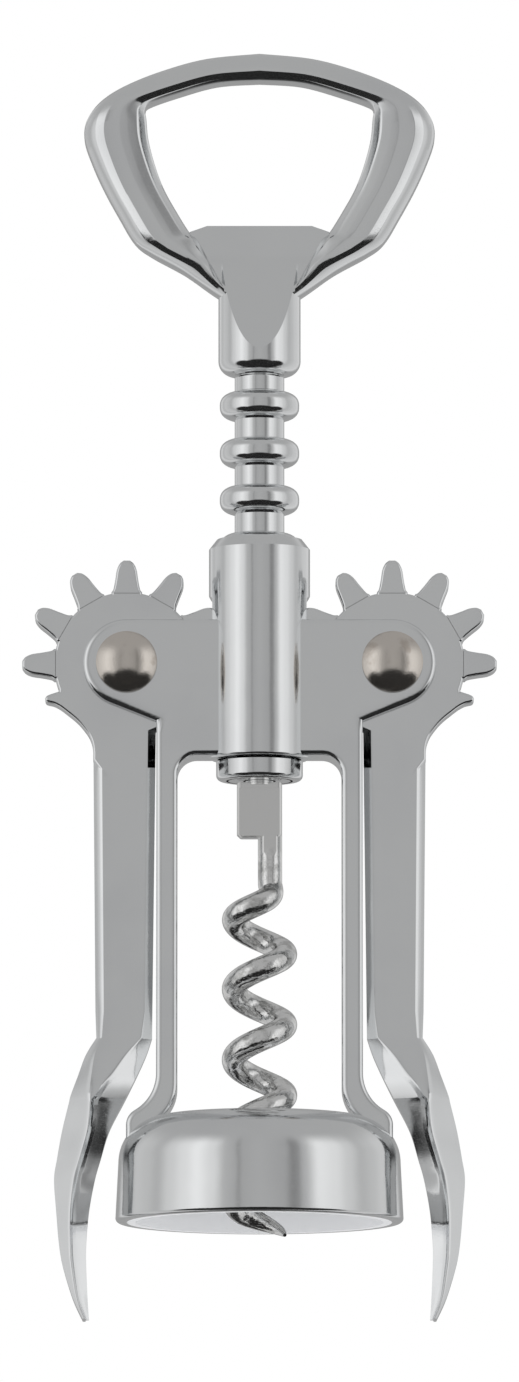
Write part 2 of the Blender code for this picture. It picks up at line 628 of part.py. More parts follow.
def make_worm(parts, cutters):
    """Wire helix with a flat-sided tang above it and a pin that goes up into the spindle."""
    curve = bpy.data.curves.new("worm_wire", "CURVE")
    curve.dimensions = "3D"
    curve.bevel_depth = WORM_WIRE_RADIUS
    curve.bevel_resolution = 2
    curve.use_fill_caps = True
    path = worm_path()
    print(f"Least gap between turns of the worm: {least_gap_between_turns(path):.5f} m")
    spline = curve.splines.new("POLY")
    spline.points.add(len(path) - 1)
    for point, (x, y, z, thickness) in zip(spline.points, path):
        point.co = (x, y, z, 1.0)
        point.radius = thickness
    wire = as_mesh(new_object("worm_wire", curve, cutters), cutters)

    pin_top_z = TANG_TOP_Z + TANG_PIN_LENGTH
    profile = [(0.0, pin_top_z), (TANG_PIN_RADIUS, pin_top_z), (TANG_PIN_RADIUS, TANG_TOP_Z)]
    profile += [(TANG_RADIUS, TANG_TOP_Z), (TANG_RADIUS, TANG_END_Z), (0.0, TANG_END_Z)]
    worm = turned("worm", profile, parts)
    for sign in (-1, 1):
        block_depth = TANG_RADIUS
        shape = bmesh.new()
        bmesh.ops.create_cube(shape, size=1.0)
        size = (4 * TANG_RADIUS, block_depth, 2 * TANG_LENGTH)
        bmesh.ops.scale(shape, verts=shape.verts, vec=size)
        mesh = bpy.data.meshes.new("tang_flat")
        shape.to_mesh(mesh)
        shape.free()
        flat = new_object("tang_flat_front" if sign < 0 else "tang_flat_back", mesh, cutters)
        flat_top_z = TANG_TOP_Z - SEAT_GAP
        flat.location = (0.0, sign * (TANG_FLAT_DEPTH + block_depth / 2), flat_top_z - TANG_LENGTH)
        combine(worm, flat, "DIFFERENCE")
    combine(worm, wire, "UNION")
    return worm


# Opener ring, right half from the middle of its top to the V arms' meeting point. Each row
# gives the outer and the inner edge as x and height shares of half the ring's width and of
# the handle's height above the stem's end, then the half depth as a share of the ring's.
# The handle is built with its origin at the stem's end and then lifted onto the spindle.
RING_SHAPE_SHARES = (
    (0.000, 1.000, 0.000, 0.913, 0.88),
    (0.300, 0.984, 0.240, 0.904, 0.88),
    (0.552, 0.947, 0.470, 0.869, 0.88),
    (0.766, 0.900, 0.620, 0.840, 0.90),
    (0.907, 0.850, 0.650, 0.823, 0.94),
    (0.985, 0.792, 0.645, 0.794, 0.98),
    (0.997, 0.730, 0.633, 0.730, 1.00),
    (0.950, 0.653, 0.597, 0.654, 1.00),
    (0.883, 0.573, 0.548, 0.582, 1.00),
    (0.798, 0.489, 0.480, 0.514, 1.00),
    (0.710, 0.411, 0.395, 0.440, 1.00),
    (0.610, 0.370, 0.347, 0.417, 1.00),
    (0.423, 0.314, 0.278, 0.346, 0.98),
    (0.235, 0.243, 0.180, 0.268, 0.90),
    (0.000, 0.166, 0.000, 0.243, 0.70),
)
# The row where the V arms bend in under the hole
ARM_BEND_ROW = 11
# Section of the ring, outer to inner edge: place across and half depth
RING_SECTION_SHARES = (
    (0.00, 0.38), (0.07, 0.72), (0.22, 0.94), (0.48, 1.00), (0.74, 0.88), (0.93, 0.66), (1.00, 0.36),
)


def ring_section(row):
    """One slice of the opener ring, round at its outer edge and sloping to the hole."""
    outer_x, outer_z, inner_x, inner_z, depth = row
    outer = Vector((outer_x * RING_HALF_WIDTH, 0.0, outer_z * HANDLE_HEIGHT))
    inner = Vector((inner_x * RING_HALF_WIDTH, 0.0, inner_z * HANDLE_HEIGHT))
    front = []
    for across, height in RING_SECTION_SHARES:
        place = outer.lerp(inner, across)
        front.append((place.x, -height * depth * RING_HALF_DEPTH, place.z))
    back = [(x, -y, z) for x, y, z in reversed(front)]
    return front + back


def arm_point(row, across):
    """Point of a V arm in the XZ plane, between its outer edge at 0 and its inner edge at 1."""
    outer_x, outer_z, inner_x, inner_z, depth = row
    x = outer_x + (inner_x - outer_x) * across
    z = outer_z + (inner_z - outer_z) * across
    return x * RING_HALF_WIDTH, z * HANDLE_HEIGHT


def stem_profile():
    """Round stem, with its lower end rounded off."""
    end_centre = (STEM_RADIUS - STEM_END_ROUND, STEM_END_ROUND)
    stem_top_z = PANEL_LEVEL_RISE + WELD_OVERLAP
    profile = [(0.0, stem_top_z), (STEM_RADIUS, stem_top_z)]
    profile += arc_points(end_centre, STEM_END_ROUND, 0.0, math.radians(-90), ARC_STEPS)
    profile.append((0.0, 0.0))
    return profile


def panel_cutter(sign, cutters):
    """What is cut away over the sloping panel that runs from the stem up onto the tongue."""
    corner = arm_point(RING_SHAPE_SHARES[ARM_BEND_ROW], 1.0)
    half_front = [(corner[0], TONGUE_RISE + CUT_OVERRUN), corner]
    half_front += [(PANEL_THROAT_HALF_WIDTH, PANEL_THROAT_RISE), (PANEL_THROAT_HALF_WIDTH, 0.0)]
    front = half_front + [(-x, z) for x, z in reversed(half_front)]
    cutter = flat_plate(f"panel_{'front' if sign < 0 else 'back'}", front, 4 * STEM_RADIUS, cutters)

    far = 2 * STEM_RADIUS
    top_z = TONGUE_RISE + 2 * CUT_OVERRUN
    side = [(STEM_RADIUS, PANEL_START_RISE), (TONGUE_HALF_DEPTH, PANEL_LEVEL_RISE)]
    side.append((TONGUE_HALF_DEPTH, top_z))
    side += [(far, top_z), (far, PANEL_START_RISE)]
    wedge = flat_plate(f"{cutter.name}_wedge", side, 4 * corner[0], cutters)
    wedge.matrix_world = Matrix.Rotation(sign * math.radians(90), 4, "Z")
    combine(cutter, wedge, "INTERSECT")
    return cutter


def make_handle(parts, cutters):
    """One casting: opener ring with its tongue, V arms and the round stem."""
    right = smooth_through(RING_SHAPE_SHARES, 2)
    left = [(-outer_x, outer_z, -inner_x, inner_z, depth)
            for outer_x, outer_z, inner_x, inner_z, depth in right]
    around = right + left[-2:0:-1]
    handle = lofted("handle", [ring_section(row) for row in around], parts, closed_round=True)

    corner_z = TONGUE_RISE - TONGUE_CORNER_DROP
    half = [(TONGUE_TOP_HALF_WIDTH, TONGUE_RISE), (TONGUE_CORNER_HALF_WIDTH, corner_z)]
    half += [arm_point(row, 0.5) for row in RING_SHAPE_SHARES[ARM_BEND_ROW:]]
    outline = half + [(-x, z) for x, z in reversed(half[:-1])]
    tongue = flat_plate("tongue_plate", outline, 2 * TONGUE_HALF_DEPTH + WELD_OVERLAP, cutters)
    combine(handle, turned("stem_solid", stem_profile(), cutters), "UNION")
    combine(handle, tongue, "UNION")
    for sign in (-1, 1):
        combine(handle, panel_cutter(sign, cutters), "DIFFERENCE")

    socket_radius = SPINDLE_STUB_RADIUS + SEAT_GAP
    socket_length = SPINDLE_STUB_LENGTH + CUT_OVERRUN
    socket_place = (0.0, 0.0, socket_length / 2 - CUT_OVERRUN)
    socket = cylinder("stem_socket", socket_radius, socket_length, socket_place, "Z", cutters)
    combine(handle, socket, "DIFFERENCE")
    handle.location = (0.0, 0.0, STEM_END_Z)
    smooth(handle)
    return handle


def carry(name, pieces, collection):
    """An empty on the spindle's axis that carries the pieces that move with the spindle."""
    carrier = new_object(name, None, collection)
    for piece in pieces:
        piece.parent = carrier


def main():
    clear_scene()
    parts = new_collection(COLLECTION_NAME)
    cutters = new_collection(CUTTER_COLLECTION_NAME)
    chrome = new_material("polished_chrome", (0.62, 0.63, 0.64), 0.08)
    nickel = new_material("satin_nickel", (0.58, 0.55, 0.52), 0.20)
    steel = new_material("plated_steel", (0.55, 0.56, 0.56), 0.18)

    pieces = {}
    pieces["frame"] = (make_frame(parts, cutters), chrome)
    for side, sign in (("left", -1), ("right", 1)):
        pieces[f"{side}_lever"] = (make_lever(side, sign, parts, cutters), chrome)
        pieces[f"{side}_rivet"] = (make_rivet(side, sign, parts), nickel)
    pieces["rack_spindle"] = (turned("rack_spindle", spindle_profile(), parts), chrome)
    pieces["stop_collar"] = (turned("stop_collar", collar_profile(), parts), chrome)
    pieces["worm"] = (make_worm(parts, cutters), steel)
    pieces["handle"] = (make_handle(parts, cutters), chrome)
    for piece, material in pieces.values():
        piece.data.materials.append(material)
    moving = [pieces[name][0] for name in ("rack_spindle", "stop_collar", "worm", "handle")]
    carry("spindle_carrier", moving, parts)


main()
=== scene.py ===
# %% [markdown]
# # Dressing a chromed wing corkscrew
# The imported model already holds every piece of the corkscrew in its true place, but with few
# faces and one flat colour each. This lesson rebuilds each piece finely enough for polished
# metal, which shows every facet, and gives each finish the small marks that a real one has.
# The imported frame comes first, because every new piece rides on one of its bodies.

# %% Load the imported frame
import math

import bmesh
import bpy
from mathutils import Matrix, Vector


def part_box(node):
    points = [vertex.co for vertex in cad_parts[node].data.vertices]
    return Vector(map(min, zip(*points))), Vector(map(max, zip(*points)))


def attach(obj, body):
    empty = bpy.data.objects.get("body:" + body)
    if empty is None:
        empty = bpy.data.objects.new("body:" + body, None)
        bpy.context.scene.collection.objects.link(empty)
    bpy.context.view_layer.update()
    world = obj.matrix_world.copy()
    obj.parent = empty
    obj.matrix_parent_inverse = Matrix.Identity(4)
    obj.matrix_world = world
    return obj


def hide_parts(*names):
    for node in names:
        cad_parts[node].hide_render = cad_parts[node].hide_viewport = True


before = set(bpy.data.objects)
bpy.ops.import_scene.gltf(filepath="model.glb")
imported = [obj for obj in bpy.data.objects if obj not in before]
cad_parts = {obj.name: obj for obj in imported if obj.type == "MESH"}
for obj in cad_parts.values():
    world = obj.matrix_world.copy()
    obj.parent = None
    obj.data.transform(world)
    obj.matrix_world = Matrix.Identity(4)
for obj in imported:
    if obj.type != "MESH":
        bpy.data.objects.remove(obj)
bpy.context.view_layer.update()

# %% [markdown]
# ## Sums on nodes
# A material or a Geometry Nodes tree is full of small sums. They could be wired one Math node at
# a time, but they read better as Python. A Flow wraps one socket, and its operators add the
# Math nodes. A Board adds any other node: its settings go in first, then its sockets.

# %% A socket that takes sums
class Flow:
    """One socket of a node tree, used in sums as a number is."""

    def __init__(self, board, socket):
        self.board = board
        self.socket = socket

    def __add__(self, other):
        return self.board.maths("ADD", self, other)

    def __sub__(self, other):
        return self.board.maths("SUBTRACT", self, other)

    def __rsub__(self, other):
        return self.board.maths("SUBTRACT", other, self)

    def __mul__(self, other):
        return self.board.maths("MULTIPLY", self, other)

    def __truediv__(self, other):
        return self.board.maths("DIVIDE", self, other)

    def __rtruediv__(self, other):
        return self.board.maths("DIVIDE", other, self)

    def __pow__(self, other):
        return self.board.maths("POWER", self, other)

    __radd__ = __add__
    __rmul__ = __mul__

    def clamped(self):
        return self.board.maths("MINIMUM", self.board.maths("MAXIMUM", self, 0.0), 1.0)

    def eased(self):
        """A soft start and a soft end for a share between 0 and 1."""
        share = self.clamped()
        return share * share * (3 - 2 * share)


# %% A board of nodes
class Board:
    """A node tree with one method for any node, and one for sums."""

    def __init__(self, tree):
        self.tree = tree

    def feed(self, socket, value):
        if isinstance(value, Flow):
            self.tree.links.new(value.socket, socket)
        else:
            socket.default_value = value

    def node(self, kind, settings=None, sockets=None, output=0):
        made = self.tree.nodes.new(kind)
        for name, value in (settings or {}).items():
            if name == "stops":
                while len(made.color_ramp.elements) < len(value):
                    made.color_ramp.elements.new(0.5)
                for stop, (place, level) in zip(made.color_ramp.elements, value):
                    stop.position = place
                    stop.color = (level, level, level, 1.0)
            elif name == "blend":
                made.color_ramp.interpolation = value
            else:
                setattr(made, name, value)
        for name, value in (sockets or {}).items():
            self.feed(made.inputs[name], value)
        return Flow(self, made.outputs[output])

    def maths(self, operation, *values):
        return self.node("ShaderNodeMath", {"operation": operation}, dict(enumerate(values)))

    def mixed(self, share, first, second):
        """Two colours mixed by a share. Six and seven are the colour sockets of Mix."""
        settings = {"data_type": "RGBA"}
        return self.node("ShaderNodeMix", settings, {0: share, 6: first, 7: second}, output=2)


# %% [markdown]
# ## The finishes
# Real chrome plate is almost a mirror, but never quite. The casting under it leaves a slow swell
# called orange peel, handling leaves faint haze, and cloths leave hairlines. The rivets are satin
# nickel, warmer and duller. The worm is plated wire, drawn through a die, so its marks are finer.
# All of it is made on Object coordinates, so that it stays on the metal when the pieces move.

# %% Start a finish
MILLIMETRE = 0.001
SCRATCH_START = 0.62
SCRATCH_CONTRAST = 9.0


def new_finish(name, colour, roughness):
    """A metal and its own board of nodes. Its plain values serve a viewer that skips the nodes."""
    material = bpy.data.materials.new(name)
    material.use_nodes = True
    board = Board(material.node_tree)
    shader = material.node_tree.nodes["Principled BSDF"]
    shader.inputs["Base Color"].default_value = (*colour, 1.0)
    shader.inputs["Metallic"].default_value = 1.0
    shader.inputs["Roughness"].default_value = roughness
    material.diffuse_color = (*colour, 1.0)
    return material, board, shader


def speckle(board, place, grain, detail):
    """Noise whose grain is a length on the object."""
    sockets = {"Vector": place, "Scale": 1.0 / grain, "Detail": detail}
    return board.node("ShaderNodeTexNoise", None, sockets)


def patches(board, place, grain, detail, start, contrast):
    """Soft-edged patches, as a share. They begin where the noise passes the start."""
    return ((speckle(board, place, grain, detail) - start) * contrast).eased()


def hairlines(board, place, turn, length, width):
    """Long thin scratches, all turned one way, as a share of depth."""
    sockets = {"Vector": place, "Rotation": turn, "Scale": (1.0 / length, 1.0 / width, 1.0 / width)}
    stretched = board.node("ShaderNodeMapping", None, sockets)
    return patches(board, stretched, grain=1.0, detail=1.0, start=SCRATCH_START, contrast=SCRATCH_CONTRAST)


def bumped(board, shader, height, distance):
    """Let a height between 0 and 1 tilt the metal's shading, as if it rose by the distance."""
    sockets = {"Height": height, "Distance": distance, "Strength": 1.0}
    board.feed(shader.inputs["Normal"], board.node("ShaderNodeBump", None, sockets))


# %% Polished chrome
CHROME_TINT = (0.775, 0.785, 0.79)
CHROME_HAZE_TINT = (0.735, 0.745, 0.755)
CHROME_ROUGHNESS = 0.085
HAZE_ROUGHNESS = 0.035
PEBBLE_ROUGHNESS = 0.02
SCRATCH_ROUGHNESS = 0.05
CHROME_BUMP = 0.05 * MILLIMETRE
SWELL_SHARE = 0.75
PEBBLE_SHARE = 0.05
SCRATCH_SHARE = 0.02

chrome, board, shader = new_finish("polished_chrome_finish", CHROME_TINT, CHROME_ROUGHNESS)
place = board.node("ShaderNodeTexCoord", output=3)
haze = patches(board, place, 14 * MILLIMETRE, detail=3.0, start=0.45, contrast=3.0)
swell = speckle(board, place, 5 * MILLIMETRE, detail=1.0)
pebble = speckle(board, place, 0.7 * MILLIMETRE, detail=2.0)
scratch = hairlines(board, place, turn=(0.3, 1.1, 0.2), length=18 * MILLIMETRE, width=0.12 * MILLIMETRE)
crossing = hairlines(board, place, turn=(0.8, 0.4, 2.1), length=11 * MILLIMETRE, width=0.10 * MILLIMETRE)
marks = (scratch + crossing).clamped()
tint = board.mixed(haze, (*CHROME_TINT, 1.0), (*CHROME_HAZE_TINT, 1.0))
rough = CHROME_ROUGHNESS + HAZE_ROUGHNESS * haze + PEBBLE_ROUGHNESS * pebble + SCRATCH_ROUGHNESS * marks
relief = SWELL_SHARE * swell + PEBBLE_SHARE * pebble + SCRATCH_SHARE * marks
bumped(board, shader, relief, CHROME_BUMP)

# %% [markdown]
# Inside the bell the finish is rougher and less metallic, and painted pale. The pale tint is painted
# light that stands in for the light the inside catches from below. That could be a second material,
# but the bell and its hollow are one skin, so the same finish fades to dull and painted pale there:
# nearer to the axis than the bell's wall, and below its ceiling.

# %% The dull inside of the bell, painted pale as painted light
# Painted light: this pale tint stands in for the light that the inside catches from below
INSIDE_PAINTED_LIGHT_TINT = (0.93, 0.94, 0.96)
MATT_ROUGHNESS = 0.35
MATT_METAL_LOSS_SHARE = 0.95
# It is dull, and painted pale as painted light, this far from the axis and this high
PAINTED_LIGHT_AND_MATT_RADIUS = 0.0187
PAINTED_LIGHT_AND_MATT_EDGE = 0.0002
PAINTED_LIGHT_AND_MATT_TOP = 0.0240
PAINTED_LIGHT_AND_MATT_FADE = 0.0040


def split_three(board, source):
    """The three numbers of a place or a direction."""
    split = board.tree.nodes.new("ShaderNodeSeparateXYZ")
    board.feed(split.inputs[0], source)
    return [Flow(board, socket) for socket in split.outputs]


across, deep, height = split_three(board, place)
from_axis = (across * across + deep * deep) ** 0.5
inside = ((PAINTED_LIGHT_AND_MATT_RADIUS - from_axis) / PAINTED_LIGHT_AND_MATT_EDGE).clamped() * ((PAINTED_LIGHT_AND_MATT_TOP - height) / PAINTED_LIGHT_AND_MATT_FADE).clamped()
# Painted light: the pale tint is mixed in inside the bell, with the dull finish
board.feed(shader.inputs["Base Color"], board.mixed(inside, tint, (*INSIDE_PAINTED_LIGHT_TINT, 1.0)))
board.feed(shader.inputs["Roughness"], rough + MATT_ROUGHNESS * inside)
board.feed(shader.inputs["Metallic"], 1.0 - MATT_METAL_LOSS_SHARE * inside)
print(f"{chrome.name}: {len(board.tree.nodes)} nodes")

# %% Satin nickel for the rivets
NICKEL_TINT = (0.66, 0.615, 0.565)
NICKEL_STAIN_TINT = (0.52, 0.47, 0.42)
NICKEL_ROUGHNESS = 0.13
GRIT_ROUGHNESS = 0.08
STAIN_ROUGHNESS = 0.08
NICKEL_BUMP = 0.012 * MILLIMETRE

nickel, board, shader = new_finish("satin_nickel_finish", NICKEL_TINT, NICKEL_ROUGHNESS)
place = board.node("ShaderNodeTexCoord", output=3)
stain = patches(board, place, 2.2 * MILLIMETRE, detail=3.0, start=0.52, contrast=5.0)
grit = speckle(board, place, 0.25 * MILLIMETRE, detail=2.0)
tint = board.mixed(stain, (*NICKEL_TINT, 1.0), (*NICKEL_STAIN_TINT, 1.0))
board.feed(shader.inputs["Base Color"], tint)
board.feed(shader.inputs["Roughness"], NICKEL_ROUGHNESS + GRIT_ROUGHNESS * grit + STAIN_ROUGHNESS * stain)
bumped(board, shader, grit, NICKEL_BUMP)
print(f"{nickel.name}: {len(board.tree.nodes)} nodes")

# %% Plated wire for the worm
WIRE_TINT = (0.80, 0.80, 0.795)
WIRE_DULL_TINT = (0.52, 0.52, 0.51)
WIRE_ROUGHNESS = 0.10
DULL_ROUGHNESS = 0.07
DRAWN_ROUGHNESS = 0.08
WIRE_BUMP = 0.09 * MILLIMETRE
DRAWN_SHARE = 0.1
# Above this height the bar is plain: it is the tang, not the wound wire
PLAIN_ABOVE = 0.0670
PLAIN_FADE = 0.0020
PLAIN_DULL_SHARE = 0.25
PLAIN_LUMP_SHARE = 0.15

wire, board, shader = new_finish("plated_wire_finish", WIRE_TINT, WIRE_ROUGHNESS)
place = board.node("ShaderNodeTexCoord", output=3)
dull = patches(board, place, 1.6 * MILLIMETRE, detail=3.0, start=0.46, contrast=4.0)
drawn = hairlines(board, place, turn=(0.0, 0.5, 0.0), length=4 * MILLIMETRE, width=0.08 * MILLIMETRE)
lumps = speckle(board, place, 1.1 * MILLIMETRE, detail=2.0)
across, deep, height = split_three(board, place)
wound = ((PLAIN_ABOVE - height) / PLAIN_FADE).eased()
dull = dull * wound + PLAIN_DULL_SHARE * (1 - wound)
lump_share = PLAIN_LUMP_SHARE + (1 - PLAIN_LUMP_SHARE) * wound
tint = board.mixed(dull, (*WIRE_TINT, 1.0), (*WIRE_DULL_TINT, 1.0))
board.feed(shader.inputs["Base Color"], tint)
board.feed(shader.inputs["Roughness"], WIRE_ROUGHNESS + DULL_ROUGHNESS * dull + DRAWN_ROUGHNESS * drawn)
bumped(board, shader, lump_share * lumps + DRAWN_SHARE * drawn * wound, WIRE_BUMP)
print(f"{wire.name}: {len(board.tree.nodes)} nodes")

# %% [markdown]
# ## Curves and skins
# Most of the corkscrew is cast: flat plates with soft edges, forms turned round an axis, and bars
# whose section changes along their length. Three small builders cover them. Each works on rings
# of points, so that the fineness is set in one place and the faces always close.

# %% Points of arcs and smooth curves
ARC_STEPS = 12
EDGE_STEPS = 5
MERGE_DISTANCE = 0.000001


def arc_points(centre, radius, start_angle, end_angle, steps=ARC_STEPS):
    """Points of an arc in a plane, both ends included."""
    points = []
    for step in range(steps + 1):
        angle = start_angle + (end_angle - start_angle) * step / steps
        points.append((centre[0] + radius * math.cos(angle), centre[1] + radius * math.sin(angle)))
    return points


def smooth_through(points, steps):
    """A Catmull-Rom curve through points of any dimension, steps points to each stretch."""
    count = len(points)
    result = []
    for index in range(count - 1):
        before = points[max(index - 1, 0)]
        start = points[index]
        end = points[index + 1]
        after = points[min(index + 2, count - 1)]
        for step in range(steps):
            t = step / steps
            result.append(tuple(
                0.5 * (2 * b + (c - a) * t + (2 * a - 5 * b + 4 * c - d) * t**2
                       + (3 * b - a - 3 * c + d) * t**3)
                for a, b, c, d in zip(before, start, end, after)))
    result.append(tuple(points[-1]))
    return result


# %% Mirrored and inset outlines
def counter_clockwise(outline):
    """The outline, turned round where it runs clockwise."""
    area = sum(a[0] * b[1] - b[0] * a[1] for a, b in zip(outline, outline[1:] + outline[:1]))
    return outline if area > 0 else outline[::-1]


def with_mirror(half):
    """Half an outline and its mirror image. A point on the middle line counts once."""
    return half + [(-x, *rest) for x, *rest in reversed(half) if abs(x) > MERGE_DISTANCE]


def inset(outline, depth):
    """Every side of a counter-clockwise outline moved inwards, times a point's third number there."""
    inner = []
    count = len(outline)
    for index in range(count):
        here = Vector(outline[index][:2])
        back = (here - Vector(outline[index - 1][:2])).normalized()
        ahead = (Vector(outline[(index + 1) % count][:2]) - here).normalized()
        inward_back = Vector((-back.y, back.x))
        inward_ahead = Vector((-ahead.y, ahead.x))
        mitre = inward_back + inward_ahead
        wider = outline[index][2] if len(outline[index]) > 2 else 1.0
        inner.append(tuple(here + mitre * (wider * depth / (1 + inward_back.dot(inward_ahead)))))
    return inner


# %% Skins over rings
def new_object(name, mesh):
    made = bpy.data.objects.new(name, mesh)
    bpy.context.scene.collection.objects.link(made)
    return made


def solid(name, shape):
    """A mesh object from finished faces, which are made to point outwards."""
    bmesh.ops.recalc_face_normals(shape, faces=shape.faces)
    mesh = bpy.data.meshes.new(name)
    shape.to_mesh(mesh)
    shape.free()
    return new_object(name, mesh)


def front_and_back(front):
    """The front half of a section and its mirror image behind."""
    return front + [(x, -y, z) for x, y, z in reversed(front)]


def skinned(name, rings, closed_round=False):
    """A skin over rings of equally many points, capped at both ends or closed on itself."""
    shape = bmesh.new()
    rows = [[shape.verts.new(point) for point in ring] for ring in rings]
    pairs = list(zip(rows, rows[1:]))
    if closed_round:
        pairs.append((rows[-1], rows[0]))
    for lower, upper in pairs:
        for index in range(len(lower)):
            after = (index + 1) % len(lower)
            shape.faces.new((lower[index], lower[after], upper[after], upper[index]))
    if not closed_round:
        shape.faces.new(rows[0][::-1])
        shape.faces.new(rows[-1])
    return solid(name, shape)


# %% Blocks, plates and turned forms
def side_block(name, side_view, half_width, sign):
    """A block whose side view is (depth, height) points, in front at sign -1 and behind at sign 1."""
    return skinned(name, [[(x, sign * y, z) for y, z in side_view] for x in (-half_width, half_width)])


def rounded_plate(name, outline, half_depth, edge_round, edge_drop=None):
    """An outline in the XZ plane made a plate, its front and back edges rounded over."""
    edge_drop = edge_round if edge_drop is None else edge_drop
    outline = counter_clockwise(outline)
    front = []
    for step in range(EDGE_STEPS + 1):
        angle = math.pi / 2 * step / EDGE_STEPS
        ring = inset(outline, edge_round * (1 - math.sin(angle)))
        y = -half_depth + edge_drop * (1 - math.cos(angle))
        front.append([(x, y, z) for x, z in ring])
    back = [[(x, -y, z) for x, y, z in ring] for ring in reversed(front)]
    return skinned(name, front + back)


def turned(name, profile, steps, turn_axis="Z"):
    """A profile of (radius, height) points turned about an axis. Points on the axis become poles."""
    shape = bmesh.new()
    closed = profile[0] == profile[-1]
    rows = []
    for radius, height in profile[:-1] if closed else profile:
        count = 1 if radius < MERGE_DISTANCE else steps
        row = []
        for index in range(count):
            angle = math.tau * index / count
            row.append(shape.verts.new((radius * math.cos(angle), radius * math.sin(angle), height)))
        rows.append(row)
    pairs = list(zip(rows, rows[1:]))
    if closed:
        pairs.append((rows[-1], rows[0]))
    for upper, lower in pairs:
        for index in range(steps):
            after = (index + 1) % steps
            if len(upper) == 1 and len(lower) > 1:
                shape.faces.new((upper[0], lower[index], lower[after]))
            elif len(lower) == 1 and len(upper) > 1:
                shape.faces.new((upper[index], lower[0], upper[after]))
            elif len(upper) > 1:
                shape.faces.new((upper[index], lower[index], lower[after], upper[after]))
    if turn_axis == "Y":
        bmesh.ops.rotate(shape, verts=shape.verts, matrix=Matrix.Rotation(math.radians(90), 3, "X"))
    return solid(name, shape)


def plug(name, radius, low, high, steps, turn_axis="Z"):
    """A plain round bar or cutter between two heights on its axis."""
    return turned(name, [(0.0, high), (radius, high), (radius, low), (0.0, low)], steps, turn_axis)


# %% Move, bake and join solids
def moved(piece, x, z):
    """Put a piece's place into its mesh, so that the object itself stays at the origin."""
    piece.data.transform(Matrix.Translation((x, 0.0, z)))
    return piece


def baked(piece):
    """Put what the modifiers make into the piece's own mesh, and take the modifiers off."""
    bpy.context.view_layer.update()
    graph = bpy.context.evaluated_depsgraph_get()
    mesh = bpy.data.meshes.new_from_object(piece.evaluated_get(graph))
    piece.modifiers.clear()
    piece.data = mesh
    return piece


def combine(target, other, operation):
    """Join another solid to the target, or cut the target with it, at once."""
    change = target.modifiers.new(operation.title(), "BOOLEAN")
    change.operation = operation
    change.solver = "EXACT"
    change.object = other
    baked(target)
    bpy.data.objects.remove(other, do_unlink=True)
    return target


# %% Finish a piece
SHARP_ANGLE = math.radians(30)


def finish_piece(piece, material, body, node, sharp_angle=SHARP_ANGLE, weighted=True):
    """Give a piece its finish and clean shading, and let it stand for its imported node."""
    shape = bmesh.new()
    shape.from_mesh(piece.data)
    bmesh.ops.remove_doubles(shape, verts=shape.verts, dist=MERGE_DISTANCE)
    shape.to_mesh(piece.data)
    shape.free()
    piece.data.materials.clear()
    piece.data.materials.append(material)
    for polygon in piece.data.polygons:
        polygon.use_smooth = True
        polygon.material_index = 0
    piece.data.set_sharp_from_angle(angle=sharp_angle)
    if weighted:
        shading = piece.modifiers.new("Even shading", "WEIGHTED_NORMAL")
        shading.keep_sharp = True
        baked(piece)
    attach(piece, body)
    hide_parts(node)
    triangles = sum(len(polygon.vertices) - 2 for polygon in piece.data.polygons)
    print(f"{piece.name}: {triangles} triangles")
    return piece


# %% [markdown]
# ## Sizes that the pieces share
# The rack on the spindle and the teeth on the wings turn together, so one pitch drives both, and
# the wings' pivots stand where the teeth reach the rack. The places below follow from the sizes,
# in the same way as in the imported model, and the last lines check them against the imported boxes.

# %% Rack, gears and pivots
SEAT_GAP = 0.0003
CUT_OVERRUN = 0.002
RIB_PITCH = 0.0067
GEAR_TEETH_PER_TURN = 12
GEAR_ADDENDUM = 0.0019
GEAR_DEDENDUM = 0.0026
GEAR_TIP_CLEARANCE = 0.0005
RIB_RADIUS = 0.0056
NECK_RADIUS = 0.0035
RIB_LENGTH = 0.0040
RIBS_ABOVE_PIVOT = 6
RIBS_BELOW_PIVOT = 2
LEVER_LENGTH = 0.0924
LEVER_THICKNESS = 0.0044
FRAME_THICKNESS = 0.0084
RIVET_SHANK_RADIUS = 0.0025

PITCH_RADIUS = GEAR_TEETH_PER_TURN * RIB_PITCH / math.tau
GEAR_TIP_RADIUS = PITCH_RADIUS + GEAR_ADDENDUM
GEAR_ROOT_RADIUS = PITCH_RADIUS - GEAR_DEDENDUM
PIVOT_X = NECK_RADIUS + GEAR_TIP_CLEARANCE + GEAR_TIP_RADIUS
PIVOT_Z = LEVER_LENGTH
RIVET_HOLE_RADIUS = RIVET_SHANK_RADIUS + SEAT_GAP
SIDES = (("left", -1), ("right", 1))
rivet_low, rivet_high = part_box("right_rivet")
print(f"Pivot at x {PIVOT_X:.5f}, packed rivet at x {(rivet_low.x + rivet_high.x) / 2:.5f}")

# %% [markdown]
# ## The frame
# The frame is one zinc casting: a bell that sits on the bottle, two uprights, a web with two ears
# on each side for the wings, and the barrel that guides the spindle. Front and back are the same,
# so an outline seen from the front gives the web and the uprights, and the turned forms join it.
# Exact Booleans keep the crisp lines where the barrel runs into the web.

# %% Sizes of the frame
EAR_RADIUS = 0.0061
EAR_SLOPE = math.radians(21.6)
WEB_DEPTH_BELOW_PIVOT = 0.0131
UPRIGHT_OUTER_X = 0.01450
UPRIGHT_INNER_X = 0.01155
WINDOW_FILLET = 0.00275
FOOT_CURVE = 0.0060
FOOT_OUTER_RISE = 0.0058
FOOT_INNER_RISE = 0.0042
FOOT_OUTER_SPREAD = 0.0030
FOOT_INNER_SPREAD = 0.0022
FRAME_EDGE_ROUND = 0.0009
FRAME_EDGE_DROP = 0.0005
# How many times wider the rounded edge is along the ears' lower sides
EAR_LOWER_EDGE_SHARE = 2.0
FOOT_HEEL_ROUND = 0.0024

